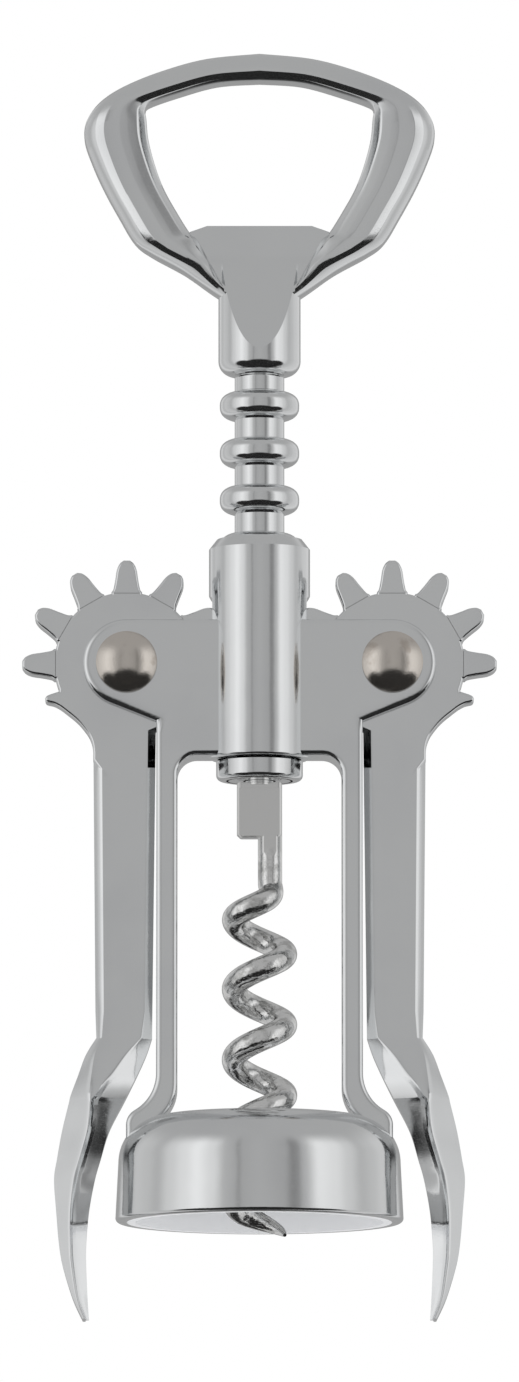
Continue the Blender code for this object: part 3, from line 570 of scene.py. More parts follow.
BELL_RIM_DROP = 0.0787
BELL_HEIGHT = 0.0149
BELL_WALL = 0.0024
WEB_BOTTOM_Z = PIVOT_Z - WEB_DEPTH_BELOW_PIVOT
WEB_TOP_Z = PIVOT_Z + EAR_RADIUS
RIM_Z = PIVOT_Z - BELL_RIM_DROP
BELL_TOP_Z = RIM_Z + BELL_HEIGHT
BELL_CEILING_Z = BELL_TOP_Z - BELL_WALL
print(f"Web from {WEB_BOTTOM_Z:.4f} to {WEB_TOP_Z:.4f}, bell from {RIM_Z:.4f} to {BELL_TOP_Z:.4f}")


# %% The ears, and the uprights with their feet
def ear_points():
    """The ear's round end and its sloping lower side, down to the upright."""
    points = [(PIVOT_X, WEB_TOP_Z)]
    end_angle = EAR_SLOPE - math.radians(90)
    pivot = (PIVOT_X, PIVOT_Z)
    for x, z in arc_points(pivot, EAR_RADIUS, math.radians(90), end_angle, 3 * ARC_STEPS)[1:]:
        lowness = max(0.0, (PIVOT_Z - z) / EAR_RADIUS) ** 2
        points.append((x, z, 1 + (EAR_LOWER_EDGE_SHARE - 1) * lowness))
    end_x, end_z, wider = points[-1]
    corner_z = end_z - (end_x - UPRIGHT_OUTER_X) * math.tan(EAR_SLOPE)
    points.append((UPRIGHT_OUTER_X, corner_z, wider))
    # Below the corner the edge is back at its own width
    points.append((UPRIGHT_OUTER_X, corner_z - 2 * FRAME_EDGE_ROUND))
    return points


def foot_points():
    """The upright's outer side, its foot inside the bell's wall, and its inner side."""
    foot_z = BELL_CEILING_Z - BELL_WALL
    sweep = math.acos(1 - FOOT_OUTER_SPREAD / FOOT_CURVE)
    centre = (UPRIGHT_OUTER_X + FOOT_CURVE, BELL_TOP_Z + FOOT_OUTER_RISE)
    outer = arc_points(centre, FOOT_CURVE, math.pi, math.pi + sweep)
    flare_x, flare_z = outer[-1]
    heel = (flare_x - FOOT_HEEL_ROUND * math.cos(sweep), flare_z - FOOT_HEEL_ROUND * math.sin(sweep))
    outer += arc_points(heel, FOOT_HEEL_ROUND, sweep, 0.0)[1:]
    outer.append((outer[-1][0], foot_z))

    sweep = math.acos(1 - FOOT_INNER_SPREAD / FOOT_CURVE)
    centre = (UPRIGHT_INNER_X + FOOT_CURVE, BELL_TOP_Z + FOOT_INNER_RISE)
    inner = arc_points(centre, FOOT_CURVE, math.pi + sweep, math.pi)
    inner.insert(0, (inner[0][0], foot_z))
    return outer + inner


# %% The flat casting
window_corner = (UPRIGHT_INNER_X - WINDOW_FILLET, WEB_BOTTOM_Z - WINDOW_FILLET)
window_top = arc_points(window_corner, WINDOW_FILLET, 0.0, math.radians(90))
frame_outline = with_mirror(ear_points() + foot_points() + window_top)
frame_edge = (FRAME_EDGE_ROUND, FRAME_EDGE_DROP)
frame_body = rounded_plate("frame_casting", frame_outline, FRAME_THICKNESS / 2, *frame_edge)
print(f"{frame_body.name}: an outline of {len(frame_outline)} points")

# %% [markdown]
# The bell, its hollow and the barrel are turned forms. Turning a profile gives an even skin with
# no seam, which matters most on the bell, because it mirrors the whole room in one sweep.

# %% Bell
BELL_RIM_RADIUS = 0.0202
BELL_BODY_RADIUS = 0.0198
BELL_SHOULDER_ROUND = 0.0065
BELL_RIM_ROUND = 0.0006
BELL_TURN_STEPS = 160


def bell_profile():
    """The bell's outside, from the middle of its top to the middle of its rim."""
    shoulder = (BELL_BODY_RADIUS - BELL_SHOULDER_ROUND, BELL_TOP_Z - BELL_SHOULDER_ROUND)
    rim = (BELL_RIM_RADIUS - BELL_RIM_ROUND, RIM_Z + BELL_RIM_ROUND)
    profile = [(0.0, BELL_TOP_Z)]
    profile += arc_points(shoulder, BELL_SHOULDER_ROUND, math.radians(90), 0.0, 2 * ARC_STEPS)
    profile += arc_points(rim, BELL_RIM_ROUND, 0.0, math.radians(-90))
    profile.append((0.0, RIM_Z))
    return profile


combine(frame_body, turned("bell", bell_profile(), BELL_TURN_STEPS), "UNION")
print("With the bell:", len(frame_body.data.polygons), "faces")

# %% Barrel
BARREL_RADIUS = 0.00712
BARREL_RISE_ABOVE_PIVOT = 0.0178
BARREL_CHAMFER_WIDTH = 0.0011
BARREL_CHAMFER_HEIGHT = 0.0014
BARREL_BOTTOM_ROUND = 0.0005
BARREL_BELOW_WEB = 0.0003
BARREL_TURN_STEPS = 96

BARREL_TOP_Z = PIVOT_Z + BARREL_RISE_ABOVE_PIVOT
BARREL_BOTTOM_Z = WEB_BOTTOM_Z - BARREL_BELOW_WEB


def barrel_profile():
    """The barrel's outside, with a chamfer at the top and a small rounding at the bottom."""
    shoulder_radius = BARREL_RADIUS - BARREL_CHAMFER_WIDTH
    bottom = (BARREL_RADIUS - BARREL_BOTTOM_ROUND, BARREL_BOTTOM_Z + BARREL_BOTTOM_ROUND)
    profile = [(0.0, BARREL_TOP_Z), (shoulder_radius, BARREL_TOP_Z)]
    profile.append((BARREL_RADIUS, BARREL_TOP_Z - BARREL_CHAMFER_HEIGHT))
    profile += arc_points(bottom, BARREL_BOTTOM_ROUND, 0.0, math.radians(-90), EDGE_STEPS)
    profile.append((0.0, BARREL_BOTTOM_Z))
    return profile


combine(frame_body, turned("barrel", barrel_profile(), BARREL_TURN_STEPS), "UNION")
print("With the barrel:", len(frame_body.data.polygons), "faces")

# %% Hollow of the bell, with the hole for the cork
CORK_HOLE_RADIUS = 0.0114
CORK_HOLE_EDGE = 0.0005
# The cutter stands this little above the bell, so that it doesn't reach the uprights' feet
CORK_HOLE_SKIN = 0.00005


def bell_cavity_profile():
    """What is taken out of the bell: the cork's hole, then the hollow below the ceiling."""
    wall_radius = BELL_BODY_RADIUS - BELL_WALL
    round_inside = BELL_SHOULDER_ROUND - BELL_WALL
    ceiling = (wall_radius - round_inside, BELL_CEILING_Z - round_inside)
    mouth_z = RIM_Z - CUT_OVERRUN
    flare = CORK_HOLE_RADIUS + CORK_HOLE_EDGE
    profile = [(0.0, BELL_TOP_Z + CORK_HOLE_SKIN), (flare + CORK_HOLE_SKIN, BELL_TOP_Z + CORK_HOLE_SKIN)]
    profile += [(flare, BELL_TOP_Z), (CORK_HOLE_RADIUS, BELL_TOP_Z - CORK_HOLE_EDGE)]
    profile.append((CORK_HOLE_RADIUS, BELL_CEILING_Z))
    profile += arc_points(ceiling, round_inside, math.radians(90), 0.0)
    profile += [(wall_radius, mouth_z), (0.0, mouth_z)]
    return profile


combine(frame_body, turned("bell_hollow", bell_cavity_profile(), BELL_TURN_STEPS), "DIFFERENCE")
print("With the hollow:", len(frame_body.data.polygons), "faces")

# %% [markdown]
# The wings' gear sectors swing in slots, so that each wing has an ear in front of it and one
# behind. One disc cut on each pivot makes both the slot and the opening in the barrel's side where
# the teeth reach the rack.

# %% Bore, gear slots and ear holes
BORE_RADIUS = RIB_RADIUS + SEAT_GAP
SLOT_RADIUS = GEAR_TIP_RADIUS + GEAR_TIP_CLEARANCE
SLOT_WIDTH = LEVER_THICKNESS + 2 * SEAT_GAP
HOLE_STEPS = 64

bore_ends = (BARREL_BOTTOM_Z - CUT_OVERRUN, BARREL_TOP_Z + CUT_OVERRUN)
combine(frame_body, plug("spindle_bore", BORE_RADIUS, *bore_ends, BARREL_TURN_STEPS), "DIFFERENCE")
for side, sign in SIDES:
    for name, radius, reach, steps in (("gear_slot", SLOT_RADIUS, SLOT_WIDTH / 2, BELL_TURN_STEPS),
                                       ("ear_hole", RIVET_HOLE_RADIUS, FRAME_THICKNESS, HOLE_STEPS)):
        cutter = plug(f"{side}_{name}", radius, -reach, reach, steps, "Y")
        combine(frame_body, moved(cutter, sign * PIVOT_X, PIVOT_Z), "DIFFERENCE")
finish_piece(frame_body, chrome, "frame", "frame")

# %% [markdown]
# ## The rack spindle
# The ribs on the spindle are a rack that goes all the way round, so the wings can drive it
# whichever way it is turned. The ribs repeat at one pitch, so the radius is a rule of the height:
# a Geometry Nodes tree gives a straight line that radius at every step and sweeps a circle
# along it. Change the pitch input and the whole rack follows.

# %% Make a tree and read its result
def new_tree(name, inputs):
    """A Geometry Nodes tree with named inputs and one geometry output."""
    tree = bpy.data.node_groups.new(name, "GeometryNodeTree")
    kinds = {"number": "NodeSocketFloat", "count": "NodeSocketInt",
             "object": "NodeSocketObject", "material": "NodeSocketMaterial"}
    for title, kind in inputs:
        tree.interface.new_socket(title, in_out="INPUT", socket_type=kinds[kind])
    tree.interface.new_socket("Geometry", in_out="OUTPUT", socket_type="NodeSocketGeometry")
    board = Board(tree)
    entry = tree.nodes.new("NodeGroupInput")
    values = {title: Flow(board, entry.outputs[title]) for title, kind in inputs}
    return board, values


def close_tree(board, geometry, material):
    """End a tree in Realize Instances and Set Material."""
    real = board.node("GeometryNodeRealizeInstances", None, {"Geometry": geometry})
    dressed = board.node("GeometryNodeSetMaterial", None, {"Geometry": real, "Material": material})
    exit_node = board.tree.nodes.new("NodeGroupOutput")
    board.tree.links.new(dressed.socket, exit_node.inputs["Geometry"])


def grown(name, board, values):
    """A plain mesh object from a tree and the values of its named inputs."""
    piece = new_object(name, bpy.data.meshes.new(name))
    growth = piece.modifiers.new("Growth", "NODES")
    growth.node_group = board.tree
    for item in board.tree.interface.items_tree:
        if item.in_out == "INPUT":
            growth[item.identifier] = values[item.name]
    return baked(piece)


def swept(board, line, radius, around):
    """A closed round skin along a line, with its radius at every point."""
    circle = board.node("GeometryNodeCurvePrimitiveCircle", None, {"Resolution": around, "Radius": 1.0})
    sockets = {"Curve": line, "Profile Curve": circle, "Scale": radius, "Fill Caps": True}
    return board.node("GeometryNodeCurveToMesh", None, sockets)


# %% The tree for the rack
# A larger first power makes a rib's crown flatter, and a smaller second one its sides steeper
RIB_BULGE_POWER = 2.7
RIB_CROWN_POWER = 0.6

rack_board, rack = new_tree("rack_ribs", (
    ("Bottom", "number"), ("Top", "number"), ("First rib", "number"), ("Rib pitch", "number"),
    ("Rib count", "number"), ("Rib length", "number"), ("Rib radius", "number"),
    ("Neck radius", "number"), ("Steps", "count"), ("Around", "count"), ("Finish", "material")))
bottom_point = rack_board.node("ShaderNodeCombineXYZ", None, {"Z": rack["Bottom"]})
top_point = rack_board.node("ShaderNodeCombineXYZ", None, {"Z": rack["Top"]})
line = rack_board.node("GeometryNodeCurvePrimitiveLine", None, {"Start": bottom_point, "End": top_point})
line = rack_board.node("GeometryNodeResampleCurve", None, {"Curve": line, "Count": rack["Steps"]})
here = rack_board.node("GeometryNodeInputPosition")
height = rack_board.node("ShaderNodeSeparateXYZ", None, {"Vector": here}, output=2)
count_up = (height - rack["First rib"]) / rack["Rib pitch"]
nearest = rack_board.maths("MAXIMUM", rack_board.maths("ROUND", count_up), 0.0)
nearest = rack_board.maths("MINIMUM", nearest, rack["Rib count"] - 1.0)
away = rack_board.maths("ABSOLUTE", count_up - nearest) * rack["Rib pitch"] / (rack["Rib length"] / 2.0)
crown = (1 - away ** RIB_BULGE_POWER).clamped() ** RIB_CROWN_POWER
rib_rise = (rack["Rib radius"] - rack["Neck radius"]) * crown
bar = swept(rack_board, line, rack["Neck radius"] + rib_rise, rack["Around"])
close_tree(rack_board, bar, rack["Finish"])
print(f"{rack_board.tree.name}: {len(rack_board.tree.nodes)} nodes")

# %% Grow the rack spindle
COLLAR_HEIGHT = 0.0027
STEM_END_ABOVE_TOP_RIB = 0.0023
RACK_STEP = 0.0001
RACK_TURN_STEPS = 64

# The pivots are level with the middle between two ribs, where a tooth points straight in
TOP_RIB_Z = PIVOT_Z + (RIBS_ABOVE_PIVOT - 0.5) * RIB_PITCH
FIRST_RIB_Z = PIVOT_Z - (RIBS_BELOW_PIVOT - 0.5) * RIB_PITCH
STEM_END_Z = TOP_RIB_Z + RIB_LENGTH / 2 + STEM_END_ABOVE_TOP_RIB
COLLAR_TOP_Z = BARREL_BOTTOM_Z - SEAT_GAP
COLLAR_BOTTOM_Z = COLLAR_TOP_Z - COLLAR_HEIGHT
spindle_top_z = STEM_END_Z - SEAT_GAP
spindle = grown("rack_spindle_turned", rack_board, {
    "Bottom": COLLAR_BOTTOM_Z, "Top": spindle_top_z, "First rib": FIRST_RIB_Z, "Rib pitch": RIB_PITCH,
    "Rib count": float(RIBS_ABOVE_PIVOT + RIBS_BELOW_PIVOT), "Rib length": RIB_LENGTH,
    "Rib radius": RIB_RADIUS, "Neck radius": NECK_RADIUS,
    "Steps": round((spindle_top_z - COLLAR_BOTTOM_Z) / RACK_STEP), "Around": RACK_TURN_STEPS,
    "Finish": chrome})
print(f"{spindle.name}: {len(spindle.data.polygons)} faces")

# %% [markdown]
# Above its shoulder the spindle carries a stub that is held in the handle, and below the collar
# its end is peened over into a flange. Both are turned pieces of the same bar, joined here.

# %% Stub, flange and blind bore of the spindle
SPINDLE_STUB_RADIUS = 0.0026
SPINDLE_STUB_LENGTH = 0.0080
PEENED_FLANGE_RADIUS = 0.0044
PEENED_FLANGE_HEIGHT = 0.0009
TANG_BORE_DEPTH = 0.0180
TANG_PIN_RADIUS = 0.0020
RACK_SHARP_ANGLE = math.radians(40)

SPINDLE_END_Z = COLLAR_BOTTOM_Z
for name, radius, low, high, operation in (
        ("stub", SPINDLE_STUB_RADIUS, spindle_top_z - SEAT_GAP, spindle_top_z + SPINDLE_STUB_LENGTH, "UNION"),
        ("flange", PEENED_FLANGE_RADIUS, SPINDLE_END_Z, SPINDLE_END_Z + PEENED_FLANGE_HEIGHT, "UNION"),
        ("tang_bore", TANG_PIN_RADIUS + SEAT_GAP, SPINDLE_END_Z - CUT_OVERRUN,
         SPINDLE_END_Z + TANG_BORE_DEPTH, "DIFFERENCE")):
    combine(spindle, plug(name, radius, low, high, HOLE_STEPS), operation)
finish_piece(spindle, chrome, "spindle", "rack_spindle", RACK_SHARP_ANGLE, weighted=False)

# %% [markdown]
# ## The stop collar
# A small ring under the barrel stops the spindle from being pulled out of the frame. It has a
# recess below for the peened flange, and a rounded lower edge that catches the light.

# %% Turn the collar
COLLAR_RADIUS = 0.0061
COLLAR_EDGE_ROUND = 0.0008


def collar_profile():
    """A closed ring, its bore first, with the flange's recess below."""
    edge = (COLLAR_RADIUS - COLLAR_EDGE_ROUND, COLLAR_BOTTOM_Z + COLLAR_EDGE_ROUND)
    bore_radius = NECK_RADIUS + SEAT_GAP
    recess_radius = PEENED_FLANGE_RADIUS + SEAT_GAP
    recess_top_z = SPINDLE_END_Z + PEENED_FLANGE_HEIGHT + SEAT_GAP
    profile = [(bore_radius, COLLAR_TOP_Z), (COLLAR_RADIUS, COLLAR_TOP_Z)]
    profile += arc_points(edge, COLLAR_EDGE_ROUND, 0.0, math.radians(-90), ARC_STEPS)
    profile += [(recess_radius, COLLAR_BOTTOM_Z), (recess_radius, recess_top_z), (bore_radius, recess_top_z)]
    profile.append((bore_radius, COLLAR_TOP_Z))
    return profile


collar = turned("stop_collar_turned", collar_profile(), BARREL_TURN_STEPS)
finish_piece(collar, chrome, "collar", "stop_collar")

# %% [markdown]
# ## The worm
# The worm is a wire wound into a helix whose first turn opens out from a flat-sided tang. A helix
# follows a rule too: at each share of the way down, the angle, the opening and the taper are
# known. The tree bends a resampled line into that path and sweeps the wire's round section along
# it, thinner over the last half turn, where the real wire is ground to a point.

# %% The tree for the wire
worm_board, worm_in = new_tree("worm_wire", (
    ("Top", "number"), ("Pitch", "number"), ("Turns", "number"), ("Lead turns", "number"),
    ("Helix radius", "number"), ("Wire radius", "number"), ("Wire offset", "number"),
    ("Start angle", "number"), ("Opening turns", "number"), ("Taper turns", "number"),
    ("Taper power", "number"), ("Tip share", "number"), ("Steps", "count"), ("Around", "count"),
    ("Finish", "material")))
line = worm_board.node("GeometryNodeCurvePrimitiveLine")
line = worm_board.node("GeometryNodeResampleCurve", None, {"Curve": line, "Count": worm_in["Steps"]})
way = worm_board.node("GeometryNodeSplineParameter")
run = way * (worm_in["Turns"] + worm_in["Lead turns"]) - worm_in["Lead turns"]
passed = worm_board.maths("MAXIMUM", run, 0.0)
angle = worm_in["Start angle"] - math.tau * passed
opening = (passed / worm_in["Opening turns"]).eased()
reach = opening * worm_in["Helix radius"]
wire_x = (1 - opening) * worm_in["Wire offset"] + reach * worm_board.maths("COSINE", angle)
wire_y = reach * worm_board.maths("SINE", angle)
wire_z = worm_in["Top"] - worm_in["Pitch"] * run
spot = worm_board.node("ShaderNodeCombineXYZ", None, {"X": wire_x, "Y": wire_y, "Z": wire_z})
line = worm_board.node("GeometryNodeSetPosition", None, {"Geometry": line, "Position": spot})
left_share = worm_board.maths("MAXIMUM", worm_in["Turns"] - passed, 0.0) / worm_in["Taper turns"]
thickness = worm_board.maths("MINIMUM", worm_in["Tip share"] + left_share ** worm_in["Taper power"], 1.0)
bar = swept(worm_board, line, thickness * worm_in["Wire radius"], worm_in["Around"])
close_tree(worm_board, bar, worm_in["Finish"])
print(f"{worm_board.tree.name}: {len(worm_board.tree.nodes)} nodes")

# %% Grow the wire
WORM_OUTER_RADIUS = 0.0053
WORM_WIRE_RADIUS = 0.0017
WORM_PITCH = 0.00995
WORM_TIP_RADIUS = 0.00025
WORM_TIP_DROP = 0.0804
WORM_TIP_ANGLE = math.radians(10)
WORM_TAPER_TURNS = 0.45
WORM_TAPER_POWER = 0.8
WORM_OPENING_TURNS = 0.55
WORM_LEAD_IN = 0.0062
TANG_RADIUS = 0.00318
TANG_LENGTH = 0.0078
WORM_STEPS_PER_TURN = 96
WIRE_TURN_STEPS = 40

TANG_TOP_Z = SPINDLE_END_Z - SEAT_GAP
TANG_END_Z = TANG_TOP_Z - TANG_LENGTH
worm_tip_z = PIVOT_Z - WORM_TIP_DROP
helix_top_z = TANG_END_Z - WORM_LEAD_IN
worm_turns = (helix_top_z - worm_tip_z) / WORM_PITCH
lead_turns = (WORM_LEAD_IN + 2 * WORM_WIRE_RADIUS) / WORM_PITCH
worm_wire = grown("worm_wire_grown", worm_board, {
    "Top": helix_top_z, "Pitch": WORM_PITCH, "Turns": worm_turns, "Lead turns": lead_turns,
    "Helix radius": WORM_OUTER_RADIUS - WORM_WIRE_RADIUS, "Wire radius": WORM_WIRE_RADIUS,
    "Wire offset": TANG_RADIUS - WORM_WIRE_RADIUS, "Start angle": WORM_TIP_ANGLE + math.tau * worm_turns,
    "Opening turns": WORM_OPENING_TURNS, "Taper turns": WORM_TAPER_TURNS,
    "Taper power": WORM_TAPER_POWER, "Tip share": WORM_TIP_RADIUS / WORM_WIRE_RADIUS,
    "Steps": round((worm_turns + lead_turns) * WORM_STEPS_PER_TURN), "Around": WIRE_TURN_STEPS,
    "Finish": wire})
print(f"The wire makes {worm_turns:.2f} turns")

# %% [markdown]
# The tang is the wire's thick end, forged flat at front and back, and a thinner pin above it goes up
# into the spindle. Its section is simple, so it is skinned over three rings. Two blocks then grind
# the flats on down over the start of the wire, with a slope where the grinding wheel runs out.

# %% The tang and its ground flats
TANG_EDGE = 0.0004
TANG_FLAT_DEPTH = 0.0016
TANG_GROUND_DEPTH = 0.00145
TANG_GROUND_RUN_OUT = 0.0040
TANG_PIN_LENGTH = 0.0170


def tang_rings():
    """Sections of the tang: round stock with two flats, which ends at a bevelled step."""
    count = 2 * WIRE_TURN_STEPS
    rings = []
    for z, trim in ((TANG_TOP_Z, 0.0), (TANG_END_Z + TANG_EDGE, 0.0), (TANG_END_Z, TANG_EDGE)):
        radius = TANG_RADIUS - trim
        flat = TANG_FLAT_DEPTH - trim
        ring = []
        for step in range(count):
            turn = math.tau * (step + 0.5) / count
            y = radius * math.sin(turn)
            ring.append((radius * math.cos(turn), max(-flat, min(flat, y)), z))
        rings.append(ring)
    return rings


worm = skinned("worm_ground", tang_rings())
pin_ends = (TANG_TOP_Z - SEAT_GAP, TANG_TOP_Z + TANG_PIN_LENGTH)
combine(worm, plug("tang_pin", TANG_PIN_RADIUS, *pin_ends, HOLE_STEPS), "UNION")
combine(worm, worm_wire, "UNION")
ground_top_z = TANG_TOP_Z - 2 * TANG_EDGE
ground_view = [(TANG_GROUND_DEPTH, ground_top_z), (TANG_GROUND_DEPTH, TANG_END_Z - TANG_GROUND_RUN_OUT / 2)]
ground_view.append((WORM_WIRE_RADIUS + TANG_EDGE, TANG_END_Z - TANG_GROUND_RUN_OUT))
ground_view += [(2 * TANG_RADIUS, TANG_END_Z), (2 * TANG_RADIUS, ground_top_z)]
for sign in (-1, 1):
    combine(worm, side_block("ground", ground_view, 2 * TANG_RADIUS, sign), "DIFFERENCE")
finish_piece(worm, wire, "spindle", "worm")

# %% [markdown]
# ## The wings
# Each wing is a casting of three parts that flow into each other: a gear sector, a flat arm with a
# wide soft edge on its inner side, and a horn that swings outwards and scoops inwards. The teeth
# repeat round the pivot, so one tooth is made and a small tree sets out the rest.

# %% One tooth
TOOTH_FOOT_HALF_WIDTH = 0.00215
TOOTH_INNER_REACH = 0.0017
# How far up the tooth, and its half width there
TOOTH_SHAPE_SHARES = ((0.0, 1.0), (0.10, 0.87), (0.40, 0.75), (0.70, 0.65), (0.90, 0.46), (1.0, 0.20))
TOOTH_STEPS = 4
LEVER_EDGE_ROUND = 0.0004
# The joined parts' faces lie this much under each other, so that no two of them coincide
FACE_STEP = 0.000004


def tooth_outline():
    """A tooth that points to the spindle, from inside the sector to its tip."""
    height = GEAR_TIP_RADIUS - GEAR_ROOT_RADIUS
    flank = [(GEAR_ROOT_RADIUS + rise * height, half * TOOTH_FOOT_HALF_WIDTH)
             for rise, half in smooth_through(TOOTH_SHAPE_SHARES, TOOTH_STEPS)]
    flank.insert(0, (GEAR_ROOT_RADIUS - TOOTH_INNER_REACH, TOOTH_FOOT_HALF_WIDTH))
    upper = [(-along, across) for along, across in flank]
    lower = [(-along, -across) for along, across in reversed(flank)]
    return upper + lower


tooth_half_depth = LEVER_THICKNESS / 2 - 2 * FACE_STEP
tooth = rounded_plate("one_tooth", tooth_outline(), tooth_half_depth, LEVER_EDGE_ROUND)
print(f"{tooth.name}: {len(tooth.data.polygons)} faces")

# %% The tree that sets out the teeth
FULL_TEETH = 7

teeth_board, teeth_in = new_tree("gear_teeth", (
    ("Tooth", "object"), ("Teeth", "count"), ("Step angle", "number"), ("Finish", "material")))
tooth_shape = teeth_board.node("GeometryNodeObjectInfo", None, {"Object": teeth_in["Tooth"]}, output=4)
points = teeth_board.node("GeometryNodePoints", None, {"Count": teeth_in["Teeth"]})
number = teeth_board.node("GeometryNodeInputIndex")
turn = teeth_board.node("ShaderNodeCombineXYZ", None, {"Y": number * teeth_in["Step angle"]})
fan = teeth_board.node("GeometryNodeInstanceOnPoints", None,
                       {"Points": points, "Instance": tooth_shape, "Rotation": turn})
close_tree(teeth_board, fan, teeth_in["Finish"])
print(f"{teeth_board.tree.name}: {len(teeth_board.tree.nodes)} nodes")

# %% Sector and shoulder
ARM_INNER_OFFSET = 0.0041
ARM_OUTER_OFFSET = 0.0047
ARM_INNER_BEVEL = 0.0011
SHOULDER_DROP = 0.0136
STUB_TIP_RADIUS = 0.0132
STUB_FOOT_ANGLE = math.radians(-21)
SECTOR_TAIL_DROP = 0.0165
SECTOR_TAIL_OUT = 0.0025
# The stub tooth's upper flank and tip and the shoulder's sweep, outwards and down from the pivot
SHOULDER_SHAPE_SHARES = (
    (0.722, 0.295), (0.780, 0.314), (0.826, 0.330), (0.856, 0.348), (0.869, 0.377), (0.856, 0.405),
    (0.826, 0.417), (0.773, 0.430), (0.705, 0.466), (0.625, 0.527), (0.538, 0.598), (0.470, 0.670),
    (0.402, 0.765), (0.367, 0.856), (0.355, 0.955),
)
SHOULDER_STEPS = 4


def sector_outline():
    """Root disc, stub tooth and shoulder. The pivot is at zero, and x goes outwards from it."""
    arm_meets_root = math.asin((ARM_INNER_OFFSET - ARM_INNER_BEVEL) / GEAR_ROOT_RADIUS)
    start_angle = math.radians(270) - arm_meets_root
    outline = [(-SECTOR_TAIL_OUT / 2, -SECTOR_TAIL_DROP)]
    outline += arc_points((0.0, 0.0), GEAR_ROOT_RADIUS, start_angle, STUB_FOOT_ANGLE, 6 * ARC_STEPS)
    shoulder = smooth_through(SHOULDER_SHAPE_SHARES, SHOULDER_STEPS)
    outline += [(out * STUB_TIP_RADIUS, -drop * STUB_TIP_RADIUS) for out, drop in shoulder]
    outline += [(ARM_OUTER_OFFSET, -SHOULDER_DROP), (SECTOR_TAIL_OUT, -SECTOR_TAIL_DROP)]
    return outline


print(f"The sector's outline has {len(sector_outline())} points")

# %% [markdown]
# Below the sector the wing is one loft: a skin over sections from the top of the arm to the horn's
# tip. Each section is given by the few corners that a pattern maker would draw, and the corners are
# softened alike all the way down, so the bevels run on without a break.

# %% Softened sections and the straight arm
ARM_LOWER_OUTER_OFFSET = 0.0043
ARM_LOWER_INNER_OFFSET = 0.0036
HORN_START_DROP = 0.0528
ARM_TOP_DROP = 0.0088
ARM_OUTER_BEVEL = 0.0010
ARM_EDGE_HALF_DEPTH = 0.0012
ARM_ROWS = 12
# How far the softening reaches along each side of a corner, and how strongly it pulls it in
SOFT_REACH_SHARE = 0.3
SOFT_PULL_SHARE = 0.25
SCOOP_WALL_SHARE = 0.10


def wing_ring(z, corners):
    """Section of the arm or horn from its front corners, the outer edge first."""
    front = []
    last = len(corners) - 1
    reach = SOFT_REACH_SHARE
    for index, (x, depth) in enumerate(corners):
        before = corners[max(index - 1, 0)]
        after = corners[min(index + 1, last)]
        middle_x = (before[0] + after[0]) / 2
        middle_depth = (before[1] + after[1]) / 2
        for share in (-reach, -reach / 2, 0.0, reach / 2, reach):
            other = before if share < 0 else after
            weight = abs(share)
            near_x = x + (other[0] - x) * weight
            near_depth = depth + (other[1] - depth) * weight
            pull = (reach - weight) * SOFT_PULL_SHARE
            soft_depth = near_depth + (middle_depth - near_depth) * pull
            front.append((near_x + (middle_x - near_x) * pull, -soft_depth, z))
    return front_and_back(front)


def arm_ring(share):
    """Section of the straight arm, at a share of its way down."""
    drop = ARM_TOP_DROP + (HORN_START_DROP - ARM_TOP_DROP) * share
    outer = ARM_OUTER_OFFSET + (ARM_LOWER_OUTER_OFFSET - ARM_OUTER_OFFSET) * share
    inner = ARM_INNER_OFFSET + (ARM_LOWER_INNER_OFFSET - ARM_INNER_OFFSET) * share
    half_depth = LEVER_THICKNESS / 2
    bevel_x = ARM_INNER_BEVEL - inner
    foot_x = bevel_x - SCOOP_WALL_SHARE * ARM_INNER_BEVEL
    foot_depth = half_depth - SCOOP_WALL_SHARE * (half_depth - ARM_EDGE_HALF_DEPTH)
    corners = [(outer, ARM_EDGE_HALF_DEPTH), (outer - ARM_OUTER_BEVEL, half_depth), (bevel_x, half_depth)]
    return wing_ring(-drop, corners + [(foot_x, foot_depth), (-inner, ARM_EDGE_HALF_DEPTH)])


arm_rings = [arm_ring(row / ARM_ROWS) for row in range(ARM_ROWS)]
print(f"The arm has {len(arm_rings)} sections of {len(arm_rings[0])} points")

# %% [markdown]
# The horn swings outwards, with a ridge down its front and a scoop on its inner side. Each row of
# the table below gives its edges and its ridge at one drop. The rows start with the arm's own
# section, so the arm runs into the horn without a step.

# %% Sections of the horn
HORN_REACH = 0.0101
HORN_HALF_DEPTH = 0.0040
HORN_EDGE_HALF_DEPTH = 0.0004
# Drop, outer edge, the ridge's two sides, inner edge, depth of the ridge, depth of the scoop's
# floor by the ridge, and the floor's fall to the inner edge
HORN_SHAPE_SHARES = (
    (0.000, 0.416, 0.356, -0.198, -0.356, 0.550, 0.545, 0.60),
    (0.062, 0.564, 0.446, 0.030, -0.275, 0.675, 0.660, 0.52),
    (0.137, 0.673, 0.485, 0.238, -0.143, 0.800, 0.770, 0.50),
    (0.205, 0.772, 0.505, 0.416, -0.010, 0.900, 0.780, 0.32),
    (0.235, 0.800, 0.510, 0.490, 0.050, 0.925, 0.740, 0.28),
    (0.331, 0.891, 0.545, 0.525, 0.238, 0.975, 0.500, 0.26),
    (0.432, 0.960, 0.650, 0.635, 0.356, 1.000, 0.290, 0.24),
    (0.505, 1.000, 0.729, 0.715, 0.436, 0.980, 0.240, 0.24),
    (0.616, 0.970, 0.779, 0.765, 0.515, 0.950, 0.400, 0.46),
    (0.732, 0.931, 0.782, 0.768, 0.554, 0.900, 0.400, 0.50),
    (0.806, 0.881, 0.762, 0.748, 0.554, 0.860, 0.350, 0.50),
    (0.922, 0.743, 0.690, 0.676, 0.535, 0.800, 0.240, 0.50),
    (1.000, 0.604, 0.580, 0.566, 0.515, 0.750, 0.160, 0.50),
)
HORN_STEPS = 8
HORN_OUTER_FALL_SHARE = 0.80
